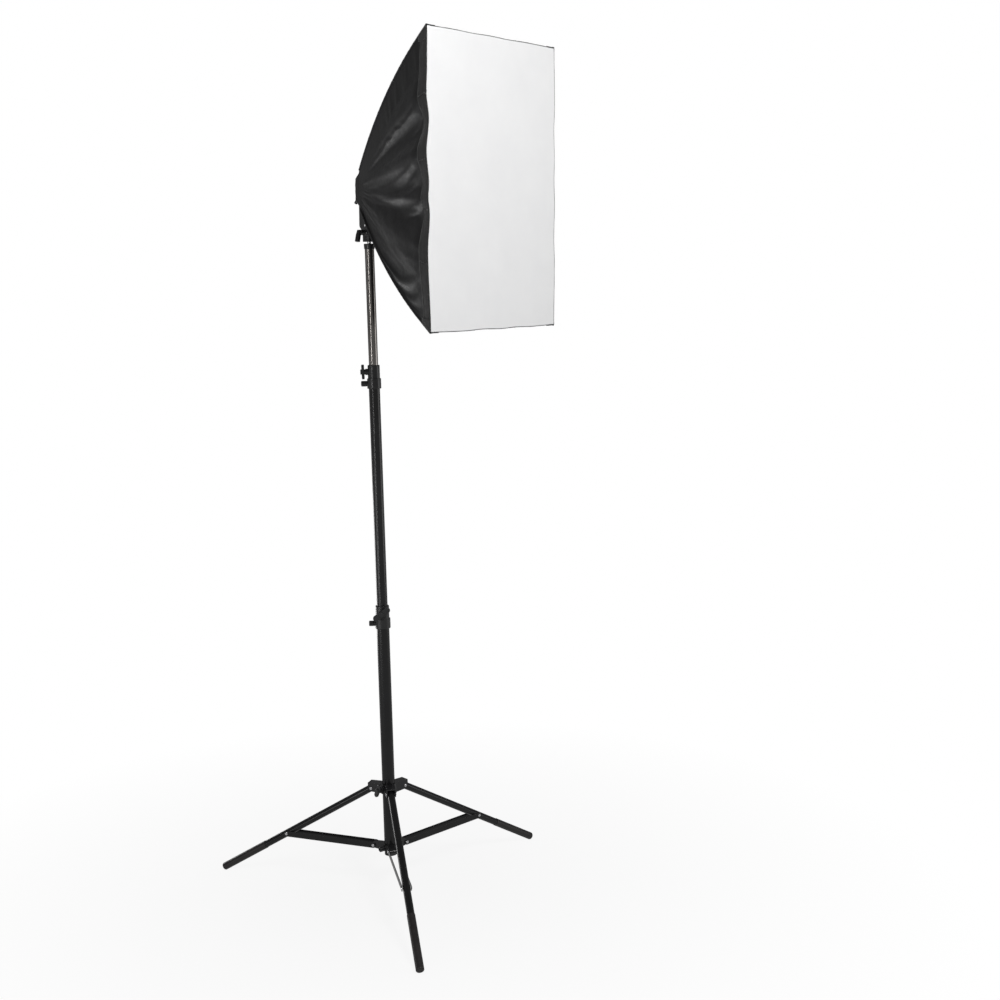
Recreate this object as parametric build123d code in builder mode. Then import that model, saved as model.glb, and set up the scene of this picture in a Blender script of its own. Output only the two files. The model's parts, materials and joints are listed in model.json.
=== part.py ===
from build123d import *
from math import atan2, cos, degrees, hypot, radians, sin
import os

# Studio softbox: a 50 x 70 cm rectangular softbox on a single-lamp holder, on a three-section stand.
# Millimetres and degrees. Origin on the floor on the column's axis, +Z up, the softbox faces -Y.

os.makedirs("parts", exist_ok=True)

# ---- fits -------------------------------------------------------------------------------------
RUN = 0.05  # radial clearance of a running fit
SIDE_GAP = 0.3  # between flat faces that turn past each other
TIP_GAP = 0.4  # between a lock screw's tip and the tube that it grips

# ---- column -----------------------------------------------------------------------------------
LOWER_TUBE_D = 35.0
MIDDLE_TUBE_D = 30.0
TOP_TUBE_D = 25.0
TUBE_WALL = 1.2
COLUMN_FOOT_Z = 106.0
LOWER_TUBE_LENGTH = 675.0
MIDDLE_TUBE_LENGTH = 724.0
TOP_TUBE_LENGTH = 690.0
MIDDLE_OVERLAP = 66.0  # length of the middle tube still inside the lower one
TOP_OVERLAP = 336.0
BUSH_LENGTH = 30.0
PLUG_FLANGE = 3.0
PLUG_DEPTH = 15.0

# ---- tube clamps ------------------------------------------------------------------------------
CLAMP_SEAT = 26.0  # how far the lower ring reaches down its tube
CLAMP_LOWER_H = 27.0
CLAMP_UPPER_H = 36.0
CLAMP_WALL = 3.75
CLAMP_BOSS_D = 17.0
CLAMP_BOSS_REACH = 6.0
LOWER_WING_AZIMUTH = 218.0
UPPER_WING_AZIMUTH = 128.0
SCREW_AZIMUTH = 128.0
LOWER_WING_SPAN = 54.0
UPPER_WING_SPAN = 42.0
LOWER_WING_SLANT = 35.0
UPPER_WING_SLANT = 70.0
LOCK_SHANK_D = 6.0
KNOB_HUB_D = 14.0
KNOB_HUB_H = 13.0
WING_LIFT = 3.0
WING_THICKNESS = 7.0
WING_SHARE = 0.3  # a wing's width, as a share of its span
SCREW_HEAD_D = 15.0
SCREW_HEAD_L = 14.0
SCREW_SEAT_REACH = 2.0
SCREW_KEY_R = 4.0
SCREW_KEY_DEPTH = 5.0

# ---- tripod -----------------------------------------------------------------------------------
LEG_COUNT = 3
FIRST_LEG_AZIMUTH = 109.25
LEG_TUBE_D = 20.0
LEG_LENGTH = 562.0  # hinge pin to the end of the foot
LEG_ANGLE = 59.27  # from the vertical, legs spread
LEG_PIVOT_R = 48.5
LEG_HEAD = 7.0  # leg tube beyond its hinge pin
BRACE_JOINT_ALONG = 314.0  # hinge pin to brace joint, along the leg
BRACE_PIVOT_Z = 128.3
BRACE_WIDTH = 16.0
BRACE_THICKNESS = 1.6
FOOT_CAP_LENGTH = 164.0
FOOT_CAP_WALL = 0.9
FOOT_CAP_END = 17.0
FOOT_ROUND = 3.0
FOOT_FLAT = 0.35  # how much of the rounded foot is worn flat where it stands
RIVET_D = 5.0
RIVET_HEAD_D = 9.0
RIVET_HEAD_H = 1.5
RIVET_HEAD_TAPER = 25.0
PIN_SETBACK = 0.1  # a leg pin ends this far inside the tube's surface
HUB_WALL = 5.0
HUB_DROP = 11.0
EAR_WALL = 3.0
EAR_ROUND = 9.0
EAR_WEB = 3.0
LEG_HEAD_GAP = 0.8  # between a leg's turning head and the web above it
EAR_SLOT_DEPTH = 4.5  # how far an ear's slot reaches in behind the leg
TONGUE_ROUND = 7.0
HUB_BOSS_REACH = 8.0
HUB_WING_SPAN = 44.0
HUB_WING_SLANT = 60.0
COLLAR_SCREW_DROP = 2.0
STRIP_GAP = 0.6  # between a foot sleeve and the brace's strips when folded

# ---- lamp holder ------------------------------------------------------------------------------
CAP_HEIGHT = 14.0
CAP_TOP = 3.0
CAP_WALL = 1.2
CAP_FLARE = 0.7
CAP_BAND = 2.0
STUD_D = 10.0
STUD_RISE = 16.0
STUD_FLANGE = 8.0
ADAPTER_LIFT = 5.0  # bare stud between cap and adapter
ADAPTER_SOCKET_D = 27.0
ADAPTER_SOCKET_H = 13.0
ADAPTER_LOCK_RISE = 6.5
STUD_END_GAP = 0.5
TILT_PIVOT_RISE = 24.0  # pivot above the adapter's lower face
CHEEK_GAP = 16.6
CHEEK_WALL = 4.0
CHEEK_ROUND = 11.0
TILT_BOLT_D = 8.0
TILT_BOLT_HEAD_R = 7.0
TILT_BOLT_HEAD_L = 5.0
TILT_COLLAR_D = 14.0
TILT_COLLAR_L = 6.0
TILT_THREAD_D = 6.0
TILT_THREAD_L = 14.0
LEVER_HUB_D = 14.0
LEVER_HUB_L = 18.0
LEVER_BORE_L = 15.0
LEVER_BLADE_T = 11.0
LEVER_BLADE_W = 8.0
LEVER_RISE = 9.0
LEVER_DROP = 24.0
LEVER_REACH = 26.5  # from the hub's inner face to the blade's foot
ARM_LEAN = 16.0  # the arm's head is this far behind the pivot
ARM_PIVOT_ROUND = 10.0
ARM_HEAD_ROUND = 10.0
ARM_LOBE = (14.0, 20.0)  # behind and above the pivot
ARM_LOBE_ROUND = 12.0
ARM_SCREW_R = 3.2
ARM_SCREW_H = 2.2
ARM_SCREW_TAPER = 15.0
UPPER_SCREW_DROP = 14.0  # below the housing
LOWER_SCREW_RISE = 19.0  # above the pivot
UMBRELLA_BORE_D = 8.2
UMBRELLA_BORE_RISE = 42.0
ADAPTER_WING_SPAN = 20.0
REST_TILT = 1.3  # front down

# ---- softbox ----------------------------------------------------------------------------------
AXIS_RISE = 109.0  # softbox axis above the tilt pivot
BOX_WIDTH = 500.0
BOX_HEIGHT = 700.0
BOX_FRONT_Y = -422.0
SLEEVE_FRONT_Y = -10.0
SLEEVE_REAR_Y = 12.0
BOW = 0.066  # outward bow of the walls, as a share of their flare
FABRIC = 1.5
HEM_DEPTH = 30.0
HEM_THICKNESS = 2.5
ROD_D = 4.0
ROD_TIP_D = 7.0
ROD_TIP_L = 8.0
ROD_TIP_SETBACK = 12.0
ROD_INSET = 8.5
ROD_ROOT = 23.0
ROD_SOCKET_D = 9.0
ROD_SOCKET_L = 8.0
ROD_SOCKET_SINK = 4.0
HOUSING_D = 58.0
HOUSING_WALL = 2.5
HOUSING_ROUND = 4.0
HOUSING_REAR_Y = 14.0
SLEEVE_FRONT_MARGIN = 15.7  # from the housing's side to the sleeve's
SLEEVE_REAR_MARGIN = 4.0
FLAP_GAP = 0.3  # between the sleeve's rear flap and the housing
ARM_SLOT_GAP = 1.5  # beside the arm, in the sleeve
ARM_SLOT_FRONT_GAP = 3.0
PLATE_FRONT_Y = -30.0
PLATE_REAR_Y = -22.0
PLATE_MARGIN = 2.0  # from the housing's side to the rod plate's
PLATE_ROUND = 10.0
SOCKET_D = 40.0
SOCKET_FRONT_Y = -56.0
SOCKET_REAR_Y = 4.0
THREAD_D = 27.2
THREAD_WALL = 0.8
THREAD_REAR_Y = -16.0
CONTACT_D = 8.0
CONTACT_H = 2.0
THREAD_SETBACK = 2.0
BULB_CAP_D = 27.0
BULB_CAP_GAP = 2.0  # bare cap between the socket and the ballast
BALLAST_NECK = 14.0
BALLAST_SHOULDER = 24.0
BALLAST_D = 58.0
BALLAST_FRONT_Y = -128.0
LAMP_TUBE_D = 11.0
LAMP_TUBE_CIRCLE_R = 21.0
LAMP_TUBE_FRONT_Y = -282.0
GLAND_D = 11.0
GLAND_L = 26.0
GLAND_BORE_D = 5.0
GLAND_X = -16.0
GLAND_BELOW = 13.0
GLAND_ANGLE = 38.5  # outward from straight down
GLAND_TAPER = 3.0
GLAND_FLANGE = 3.0

# ---- places that follow from the sizes above ----------------------------------------------------
LOWER_TUBE_TOP = COLUMN_FOOT_Z + LOWER_TUBE_LENGTH
LOWER_CLAMP_Z = LOWER_TUBE_TOP - CLAMP_SEAT
MIDDLE_TUBE_FOOT = LOWER_TUBE_TOP - MIDDLE_OVERLAP
MIDDLE_TUBE_TOP = MIDDLE_TUBE_FOOT + MIDDLE_TUBE_LENGTH
UPPER_CLAMP_Z = MIDDLE_TUBE_TOP - CLAMP_SEAT
TOP_TUBE_FOOT = MIDDLE_TUBE_TOP - TOP_OVERLAP
TOP_TUBE_TOP = TOP_TUBE_FOOT + TOP_TUBE_LENGTH
CAP_TOP_Z = TOP_TUBE_TOP + CAP_TOP
ADAPTER_Z = CAP_TOP_Z + ADAPTER_LIFT
PIVOT_Z = ADAPTER_Z + TILT_PIVOT_RISE
AXIS_Z = PIVOT_Z + AXIS_RISE
SLEEVE_SIZE = HOUSING_D + 2 * SLEEVE_FRONT_MARGIN  # where the walls meet the sleeve
SLEEVE_REAR_SIZE = HOUSING_D + 2 * SLEEVE_REAR_MARGIN
PLATE_SIZE = HOUSING_D + 2 * PLATE_MARGIN

FOOT_R = LEG_TUBE_D / 2 + FOOT_CAP_WALL
HUB_RISE = hypot(LEG_HEAD, LEG_TUBE_D / 2) + LEG_HEAD_GAP + EAR_WEB
LEG_SIN = sin(radians(LEG_ANGLE))
LEG_COS = cos(radians(LEG_ANGLE))
# The foot's rounded rim reaches this far below the end of the leg's axis.
FOOT_RIM_DROP = (FOOT_R - FOOT_ROUND) * LEG_SIN - FOOT_ROUND * LEG_COS + FOOT_ROUND
HUB_PIVOT_Z = LEG_LENGTH * LEG_COS + FOOT_RIM_DROP - FOOT_FLAT
BRACE_JOINT_R = LEG_PIVOT_R + BRACE_JOINT_ALONG * LEG_SIN
BRACE_JOINT_Z = HUB_PIVOT_Z - BRACE_JOINT_ALONG * LEG_COS
BRACE_LENGTH = hypot(BRACE_JOINT_R - LEG_PIVOT_R, BRACE_JOINT_Z - BRACE_PIVOT_Z)
BRACE_ANGLE = degrees(atan2(BRACE_JOINT_Z - BRACE_PIVOT_Z, BRACE_JOINT_R - LEG_PIVOT_R))
STRIP_INNER = FOOT_R + STRIP_GAP  # half the space between a brace's two strips
STRIP_OUTER = STRIP_INNER + BRACE_THICKNESS
EAR_INNER = LEG_TUBE_D / 2 + SIDE_GAP
EAR_OUTER = EAR_INNER + EAR_WALL
LEG_AZIMUTHS = [FIRST_LEG_AZIMUTH + 360 / LEG_COUNT * leg for leg in range(LEG_COUNT)]
HUB_KNOB_AZIMUTH = FIRST_LEG_AZIMUTH + 180 / LEG_COUNT

HEAD_TURN = Axis((0, 0, PIVOT_Z), (1, 0, 0))


def write(part, name):
    part.label = name
    export_step(part, f"parts/{name}.step")


def write_tilted(part, name):
    """A piece of the lamp head, turned about the tilt pivot to its rest angle."""
    write(part.rotate(HEAD_TURN, REST_TILT), name)


def outward(azimuth, radius=0.0, height=0.0):
    return Vector(radius * cos(radians(azimuth)), radius * sin(radians(azimuth)), height)


def radial_plane(azimuth, radius, height):
    """A plane facing away from the column, its x direction level."""
    side = outward(azimuth + 90, 1)
    return Plane(origin=outward(azimuth, radius, height), x_dir=side, z_dir=outward(azimuth, 1))


def upright_plane(azimuth, height, side_offset=0.0):
    """The vertical plane through the column at an azimuth: x outward, y up, moved sideways."""
    normal = outward(azimuth - 90, 1)
    return Plane(origin=Vector(0, 0, height) + normal * side_offset, x_dir=outward(azimuth, 1), z_dir=normal)


# ---- column tubes -------------------------------------------------------------------------------
def tube(outside_d, wall, foot_z, length):
    with BuildPart() as piece:
        with BuildSketch(Plane.XY.offset(foot_z)):
            Circle(outside_d / 2)
            Circle(outside_d / 2 - wall, mode=Mode.SUBTRACT)
        extrude(amount=length)
    return piece.part


def guide_bush(outer_tube_d, inner_tube_d, foot_z):
    """A bush on the foot of a tube, which runs in the tube around it."""
    bush_d = outer_tube_d - 2 * TUBE_WALL - 2 * RUN
    return tube(bush_d, (bush_d - inner_tube_d) / 2, foot_z, BUSH_LENGTH)


write(tube(LOWER_TUBE_D, TUBE_WALL, COLUMN_FOOT_Z, LOWER_TUBE_LENGTH), "lower_tube")
write(tube(MIDDLE_TUBE_D, TUBE_WALL, MIDDLE_TUBE_FOOT, MIDDLE_TUBE_LENGTH), "middle_tube")
write(tube(TOP_TUBE_D, TUBE_WALL, TOP_TUBE_FOOT, TOP_TUBE_LENGTH), "top_tube")
write(guide_bush(LOWER_TUBE_D, MIDDLE_TUBE_D, MIDDLE_TUBE_FOOT), "middle_tube_bush")
write(guide_bush(MIDDLE_TUBE_D, TOP_TUBE_D, TOP_TUBE_FOOT), "top_tube_bush")

with BuildPart() as lower_tube_plug:
    with BuildSketch(Plane.XY.offset(COLUMN_FOOT_Z - PLUG_FLANGE)):
        Circle(LOWER_TUBE_D / 2)
    extrude(amount=PLUG_FLANGE)
    chamfer(lower_tube_plug.edges().sort_by(Axis.Z)[0], 1)
    with BuildSketch(Plane.XY.offset(COLUMN_FOOT_Z)):
        Circle(LOWER_TUBE_D / 2 - TUBE_WALL)
    extrude(amount=PLUG_DEPTH)
write(lower_tube_plug.part, "lower_tube_plug")


# ---- lock knobs and clamp screws ----------------------------------------------------------------
def wing_knob(plane, span, shank_length, slant=0.0):
    """A screw with a winged head. The plane is under the head and faces outward."""
    with BuildPart() as knob:
        with BuildSketch(plane.offset(WING_LIFT)):
            SlotOverall(span, WING_SHARE * span, rotation=slant)
        extrude(amount=WING_THICKNESS)
        fillet(knob.edges(), 1.5)
        with BuildSketch(plane):
            Circle(KNOB_HUB_D / 2)
        extrude(amount=KNOB_HUB_H)
        with BuildSketch(plane):
            Circle(LOCK_SHANK_D / 2)
        extrude(amount=-shank_length)
    return knob.part


def clamp_screw(plane, shank_length):
    """A hexagon-socket cap screw under a plane that faces outward."""
    with BuildPart() as screw:
        with BuildSketch(plane):
            Circle(SCREW_HEAD_D / 2)
        extrude(amount=SCREW_HEAD_L)
        chamfer(screw.edges().filter_by(GeomType.CIRCLE), 1.2)
        with BuildSketch(plane.offset(SCREW_HEAD_L - SCREW_KEY_DEPTH)):
            RegularPolygon(SCREW_KEY_R, 6)
        extrude(amount=SCREW_KEY_DEPTH, mode=Mode.SUBTRACT)
        with BuildSketch(plane):
            Circle(LOCK_SHANK_D / 2)
        extrude(amount=-shank_length)
    return screw.part


# ---- tube clamps --------------------------------------------------------------------------------
def tube_clamp(name, base_z, outer_tube_d, inner_tube_d, wing_azimuth, wing_span, wing_slant):
    """A two-step collar: the lower ring is fixed on its tube, the upper one grips the tube inside."""
    lower_r = outer_tube_d / 2 + CLAMP_WALL
    upper_r = inner_tube_d / 2 + CLAMP_WALL
    bore_r = inner_tube_d / 2 + RUN
    wing_z = base_z + CLAMP_LOWER_H + CLAMP_UPPER_H / 2
    screw_z = base_z + CLAMP_LOWER_H / 2
    wing_seat_r = upper_r + CLAMP_BOSS_REACH
    screw_seat_r = lower_r + SCREW_SEAT_REACH
    with BuildPart() as collar:
        with BuildSketch(Plane.XY.offset(base_z)):
            Circle(lower_r)
        extrude(amount=CLAMP_LOWER_H)
        with BuildSketch(Plane.XY.offset(base_z + CLAMP_LOWER_H)):
            Circle(upper_r)
        extrude(amount=CLAMP_UPPER_H)
        rims = collar.edges().filter_by(GeomType.CIRCLE).sort_by(Axis.Z)
        chamfer([rims[0], rims[-1]], 1.2)
        with BuildSketch(radial_plane(wing_azimuth, 0, wing_z)):
            Circle(CLAMP_BOSS_D / 2)
        extrude(amount=wing_seat_r)
        with BuildSketch(radial_plane(SCREW_AZIMUTH, 0, screw_z)):
            Circle(SCREW_HEAD_D / 2)
        extrude(amount=screw_seat_r)
        with BuildSketch(Plane.XY.offset(base_z)):
            Circle(outer_tube_d / 2)
        extrude(amount=CLAMP_SEAT, mode=Mode.SUBTRACT)
        with BuildSketch(Plane.XY.offset(base_z)):
            Circle(bore_r)
        extrude(amount=CLAMP_LOWER_H + CLAMP_UPPER_H, mode=Mode.SUBTRACT)
        with BuildSketch(radial_plane(wing_azimuth, 0, wing_z)):
            Circle(LOCK_SHANK_D / 2 + RUN)
        extrude(amount=wing_seat_r + 1, mode=Mode.SUBTRACT)
        with BuildSketch(radial_plane(SCREW_AZIMUTH, 0, screw_z)):
            Circle(LOCK_SHANK_D / 2)
        extrude(amount=screw_seat_r + 1, mode=Mode.SUBTRACT)
    write(collar.part, f"{name}_collar")
    wing_plane = radial_plane(wing_azimuth, wing_seat_r + SIDE_GAP, wing_z)
    wing_shank = wing_seat_r + SIDE_GAP - inner_tube_d / 2 - TIP_GAP
    write(wing_knob(wing_plane, wing_span, wing_shank, wing_slant), f"{name}_wing_screw")
    screw_plane = radial_plane(SCREW_AZIMUTH, screw_seat_r, screw_z)
    screw_shank = screw_seat_r - outer_tube_d / 2 - TIP_GAP
    write(clamp_screw(screw_plane, screw_shank), f"{name}_clamp_screw")


tube_clamp(
    "lower",
    LOWER_CLAMP_Z,
    LOWER_TUBE_D,
    MIDDLE_TUBE_D,
    LOWER_WING_AZIMUTH,
    LOWER_WING_SPAN,
    LOWER_WING_SLANT,
)
tube_clamp(
    "upper",
    UPPER_CLAMP_Z,
    MIDDLE_TUBE_D,
    TOP_TUBE_D,
    UPPER_WING_AZIMUTH,
    UPPER_WING_SPAN,
    UPPER_WING_SLANT,
)

# ---- leg hub: slides on the lower tube and carries the legs -------------------------------------
hub_r = LOWER_TUBE_D / 2 + HUB_WALL
hub_knob_z = HUB_PIVOT_Z + (HUB_RISE - HUB_DROP) / 2
hub_knob_seat_r = hub_r + HUB_BOSS_REACH
ear_web_z = HUB_RISE - EAR_WEB
ear_slot_start = LEG_PIVOT_R - LEG_TUBE_D / 2 - EAR_SLOT_DEPTH
ear_slot_size = 2 * (LEG_PIVOT_R + EAR_ROUND)

with BuildPart() as leg_hub:
    with BuildSketch(Plane.XY.offset(HUB_PIVOT_Z - HUB_DROP)):
        Circle(hub_r)
    extrude(amount=HUB_RISE + HUB_DROP)
    for azimuth in LEG_AZIMUTHS:
        with BuildSketch(upright_plane(azimuth, HUB_PIVOT_Z)):
            with BuildLine():
                foot = Line((0, -HUB_DROP), (hub_r, -HUB_DROP))
                rise = Line(foot @ 1, (LEG_PIVOT_R, -EAR_ROUND))
                nose = TangentArc(rise @ 1, (LEG_PIVOT_R + EAR_ROUND, 0), tangent=(1, 0))
                brow = Line(nose @ 1, (LEG_PIVOT_R + EAR_ROUND, HUB_RISE))
                roof = Line(brow @ 1, (0, HUB_RISE))
                Line(roof @ 1, foot @ 0)
            make_face()
        extrude(amount=EAR_OUTER, both=True)
    with BuildSketch(radial_plane(HUB_KNOB_AZIMUTH, 0, hub_knob_z)):
        Circle(CLAMP_BOSS_D / 2)
    extrude(amount=hub_knob_seat_r)
    for azimuth in LEG_AZIMUTHS:
        with BuildSketch(upright_plane(azimuth, HUB_PIVOT_Z)):
            with Locations((ear_slot_start, ear_web_z)):
                Rectangle(ear_slot_size, ear_slot_size, align=(Align.MIN, Align.MAX))
        extrude(amount=EAR_INNER, both=True, mode=Mode.SUBTRACT)
        with BuildSketch(upright_plane(azimuth, HUB_PIVOT_Z)):
            with Locations((LEG_PIVOT_R, 0)):
                Circle(RIVET_D / 2)
        extrude(amount=EAR_OUTER + 1, both=True, mode=Mode.SUBTRACT)
    with BuildSketch(Plane.XY.offset(HUB_PIVOT_Z - HUB_DROP)):
        Circle(LOWER_TUBE_D / 2 + RUN)
    extrude(amount=HUB_RISE + HUB_DROP, mode=Mode.SUBTRACT)
    with BuildSketch(radial_plane(HUB_KNOB_AZIMUTH, 0, hub_knob_z)):
        Circle(LOCK_SHANK_D / 2 + RUN)
    extrude(amount=hub_knob_seat_r + 1, mode=Mode.SUBTRACT)
write(leg_hub.part, "leg_hub")

hub_knob_plane = radial_plane(HUB_KNOB_AZIMUTH, hub_knob_seat_r + SIDE_GAP, hub_knob_z)
hub_knob_shank = hub_knob_seat_r + SIDE_GAP - LOWER_TUBE_D / 2 - TIP_GAP
write(wing_knob(hub_knob_plane, HUB_WING_SPAN, hub_knob_shank, HUB_WING_SLANT), "hub_lock_knob")

# ---- brace collar: fixed at the foot of the lower tube ------------------------------------------
collar_screw_seat_r = hub_r + SCREW_SEAT_REACH
collar_screw_z = BRACE_PIVOT_Z - COLLAR_SCREW_DROP

with BuildPart() as brace_collar:
    with BuildSketch(Plane.XY.offset(BRACE_PIVOT_Z - HUB_DROP)):
        Circle(hub_r)
    extrude(amount=HUB_DROP + TONGUE_ROUND)
    for azimuth in LEG_AZIMUTHS:
        with BuildSketch(upright_plane(azimuth, BRACE_PIVOT_Z)):
            with BuildLine():
                foot = Line((0, -HUB_DROP), (hub_r, -HUB_DROP))
                rise = Line(foot @ 1, (LEG_PIVOT_R, -TONGUE_ROUND))
                nose = RadiusArc(rise @ 1, (LEG_PIVOT_R, TONGUE_ROUND), -TONGUE_ROUND)
                roof = Line(nose @ 1, (0, TONGUE_ROUND))
                Line(roof @ 1, foot @ 0)
            make_face()
        extrude(amount=STRIP_INNER - SIDE_GAP, both=True)
        with BuildSketch(upright_plane(azimuth, BRACE_PIVOT_Z)):
            with Locations((LEG_PIVOT_R, 0)):
                Circle(RIVET_D / 2)
        extrude(amount=STRIP_INNER, both=True, mode=Mode.SUBTRACT)
    with BuildSketch(radial_plane(HUB_KNOB_AZIMUTH, 0, collar_screw_z)):
        Circle(SCREW_HEAD_D / 2)
    extrude(amount=collar_screw_seat_r)
    with BuildSketch(Plane.XY.offset(BRACE_PIVOT_Z - HUB_DROP)):
        Circle(LOWER_TUBE_D / 2)
    extrude(amount=HUB_DROP + TONGUE_ROUND + 1, mode=Mode.SUBTRACT)
    with BuildSketch(radial_plane(HUB_KNOB_AZIMUTH, 0, collar_screw_z)):
        Circle(LOCK_SHANK_D / 2)
    extrude(amount=collar_screw_seat_r + 1, mode=Mode.SUBTRACT)
write(brace_collar.part, "brace_collar")

collar_screw_plane = radial_plane(HUB_KNOB_AZIMUTH, collar_screw_seat_r, collar_screw_z)
collar_screw_shank = collar_screw_seat_r - LOWER_TUBE_D / 2 - TIP_GAP
write(clamp_screw(collar_screw_plane, collar_screw_shank), "brace_collar_screw")


# ---- rivets -------------------------------------------------------------------------------------
def hinge_rivets(height, grip):
    """One rivet across each hinge at a height: a shank with a round head at both ends."""
    with BuildPart() as rivets:
        for azimuth in LEG_AZIMUTHS:
            with BuildSketch(upright_plane(azimuth, height)):
                with Locations((LEG_PIVOT_R, 0)):
                    Circle(RIVET_D / 2)
            extrude(amount=grip, both=True)
            for side in (-1, 1):
                with BuildSketch(upright_plane(azimuth, height, side * grip)):
                    with Locations((LEG_PIVOT_R, 0)):
                        Circle(RIVET_HEAD_D / 2)
                extrude(amount=side * RIVET_HEAD_H, taper=RIVET_HEAD_TAPER)
    return rivets.part


write(hinge_rivets(HUB_PIVOT_Z, EAR_OUTER), "hub_rivets")
write(hinge_rivets(BRACE_PIVOT_Z, STRIP_OUTER + SIDE_GAP), "collar_rivets")


# ---- legs, feet and braces ----------------------------------------------------------------------
def leg_tube(azimuth):
    direction = outward(azimuth, LEG_SIN, -LEG_COS)
    pivot = outward(azimuth, LEG_PIVOT_R, HUB_PIVOT_Z)
    along = Plane(origin=pivot, x_dir=outward(azimuth + 90, 1), z_dir=direction)
    with BuildPart() as leg:
        with BuildSketch(along.offset(-LEG_HEAD)):
            Circle(LEG_TUBE_D / 2)
            Circle(LEG_TUBE_D / 2 - TUBE_WALL, mode=Mode.SUBTRACT)
        extrude(amount=LEG_HEAD + LEG_LENGTH - FOOT_CAP_END)
        with BuildSketch(upright_plane(azimuth, HUB_PIVOT_Z)):
            with Locations((LEG_PIVOT_R, 0)):
                Circle(RIVET_D / 2 + RUN)
        extrude(amount=LEG_TUBE_D, both=True, mode=Mode.SUBTRACT)
        with BuildSketch(upright_plane(azimuth, BRACE_JOINT_Z)):
            with Locations((BRACE_JOINT_R, 0)):
                Circle(RIVET_D / 2)
        extrude(amount=LEG_TUBE_D, both=True, mode=Mode.SUBTRACT)
    return leg.part


def foot_cap(azimuth):
    """A plastic sleeve over the leg's end, rounded at the rim and worn flat where it stands."""
    direction = outward(azimuth, LEG_SIN, -LEG_COS)
    pivot = outward(azimuth, LEG_PIVOT_R, HUB_PIVOT_Z)
    along = Plane(origin=pivot, x_dir=outward(azimuth + 90, 1), z_dir=direction)
    with BuildPart() as cap:
        with BuildSketch(along.offset(LEG_LENGTH - FOOT_CAP_LENGTH)):
            Circle(FOOT_R)
        extrude(amount=FOOT_CAP_LENGTH)
        fillet(cap.edges().filter_by(GeomType.CIRCLE).sort_by(Axis.Z)[0], FOOT_ROUND)
        with BuildSketch(along.offset(LEG_LENGTH - FOOT_CAP_LENGTH)):
            Circle(LEG_TUBE_D / 2)
        extrude(amount=FOOT_CAP_LENGTH - FOOT_CAP_END, mode=Mode.SUBTRACT)
        split(bisect_by=Plane.XY, keep=Keep.TOP)
    return cap.part


def leg_pin(azimuth):
    """The pin across the leg under the brace joint, flush with the tube."""
    with BuildPart() as pin:
        with BuildSketch(upright_plane(azimuth, BRACE_JOINT_Z)):
            with Locations((BRACE_JOINT_R, 0)):
                Circle(RIVET_D / 2)
        extrude(amount=LEG_TUBE_D / 2 - PIN_SETBACK, both=True)
    return pin.part


def brace(azimuth):
    """Two flat strips, one each side of the leg and of the collar's tongue."""
    half = BRACE_LENGTH / 2
    middle_r = (LEG_PIVOT_R + BRACE_JOINT_R) / 2
    middle_z = (BRACE_PIVOT_Z + BRACE_JOINT_Z) / 2
    with BuildPart() as strips:
        for side in (-1, 1):
            with BuildSketch(upright_plane(azimuth, middle_z, side * STRIP_INNER)):
                with Locations(Location((middle_r, 0), BRACE_ANGLE)):
                    SlotCenterToCenter(BRACE_LENGTH, BRACE_WIDTH)
                    with Locations((-half, 0)):
                        Circle(RIVET_D / 2 + RUN, mode=Mode.SUBTRACT)
                    with Locations((half, 0)):
                        Circle(RIVET_D / 2, mode=Mode.SUBTRACT)
            extrude(amount=side * BRACE_THICKNESS)
    return strips.part


def brace_rivets(azimuth):
    """The two rivet heads of the brace joint, each with its shank through a strip."""
    with BuildPart() as rivets:
        for side in (-1, 1):
            with BuildSketch(upright_plane(azimuth, BRACE_JOINT_Z, side * STRIP_INNER)):
                with Locations((BRACE_JOINT_R, 0)):
                    Circle(RIVET_D / 2)
            extrude(amount=side * BRACE_THICKNESS)
            with BuildSketch(upright_plane(azimuth, BRACE_JOINT_Z, side * STRIP_OUTER)):
                with Locations((BRACE_JOINT_R, 0)):
                    Circle(RIVET_HEAD_D / 2)
            extrude(amount=side * RIVET_HEAD_H, taper=RIVET_HEAD_TAPER)
    return rivets.part


for number, azimuth in enumerate(LEG_AZIMUTHS, start=1):
    write(leg_tube(azimuth), f"leg_tube_{number}")
    write(foot_cap(azimuth), f"foot_cap_{number}")
    write(leg_pin(azimuth), f"leg_pin_{number}")
    write(brace(azimuth), f"brace_{number}")
    write(brace_rivets(azimuth), f"brace_rivets_{number}")

# ---- top of the column --------------------------------------------------------------------------
cap_base_z = CAP_TOP_Z - CAP_HEIGHT
cap_r = TOP_TUBE_D / 2 + CAP_WALL

with BuildPart() as top_tube_cap:
    with BuildSketch(Plane.XZ):
        with BuildLine():
            Polyline(
                (0, cap_base_z),
                (cap_r, cap_base_z),
                (cap_r + CAP_FLARE, CAP_TOP_Z - 2 * CAP_BAND),
                (cap_r + CAP_FLARE, CAP_TOP_Z - CAP_BAND),
                (cap_r, CAP_TOP_Z),
                (0, CAP_TOP_Z),
                close=True,
            )
        make_face()
    revolve(axis=Axis.Z)
    with BuildSketch(Plane.XY.offset(cap_base_z)):
        Circle(TOP_TUBE_D / 2)
    extrude(amount=CAP_HEIGHT - CAP_TOP, mode=Mode.SUBTRACT)
    with BuildSketch(Plane.XY.offset(cap_base_z)):
        Circle(STUD_D / 2)
    extrude(amount=CAP_HEIGHT + 1, mode=Mode.SUBTRACT)
write(top_tube_cap.part, "top_tube_cap")

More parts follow.
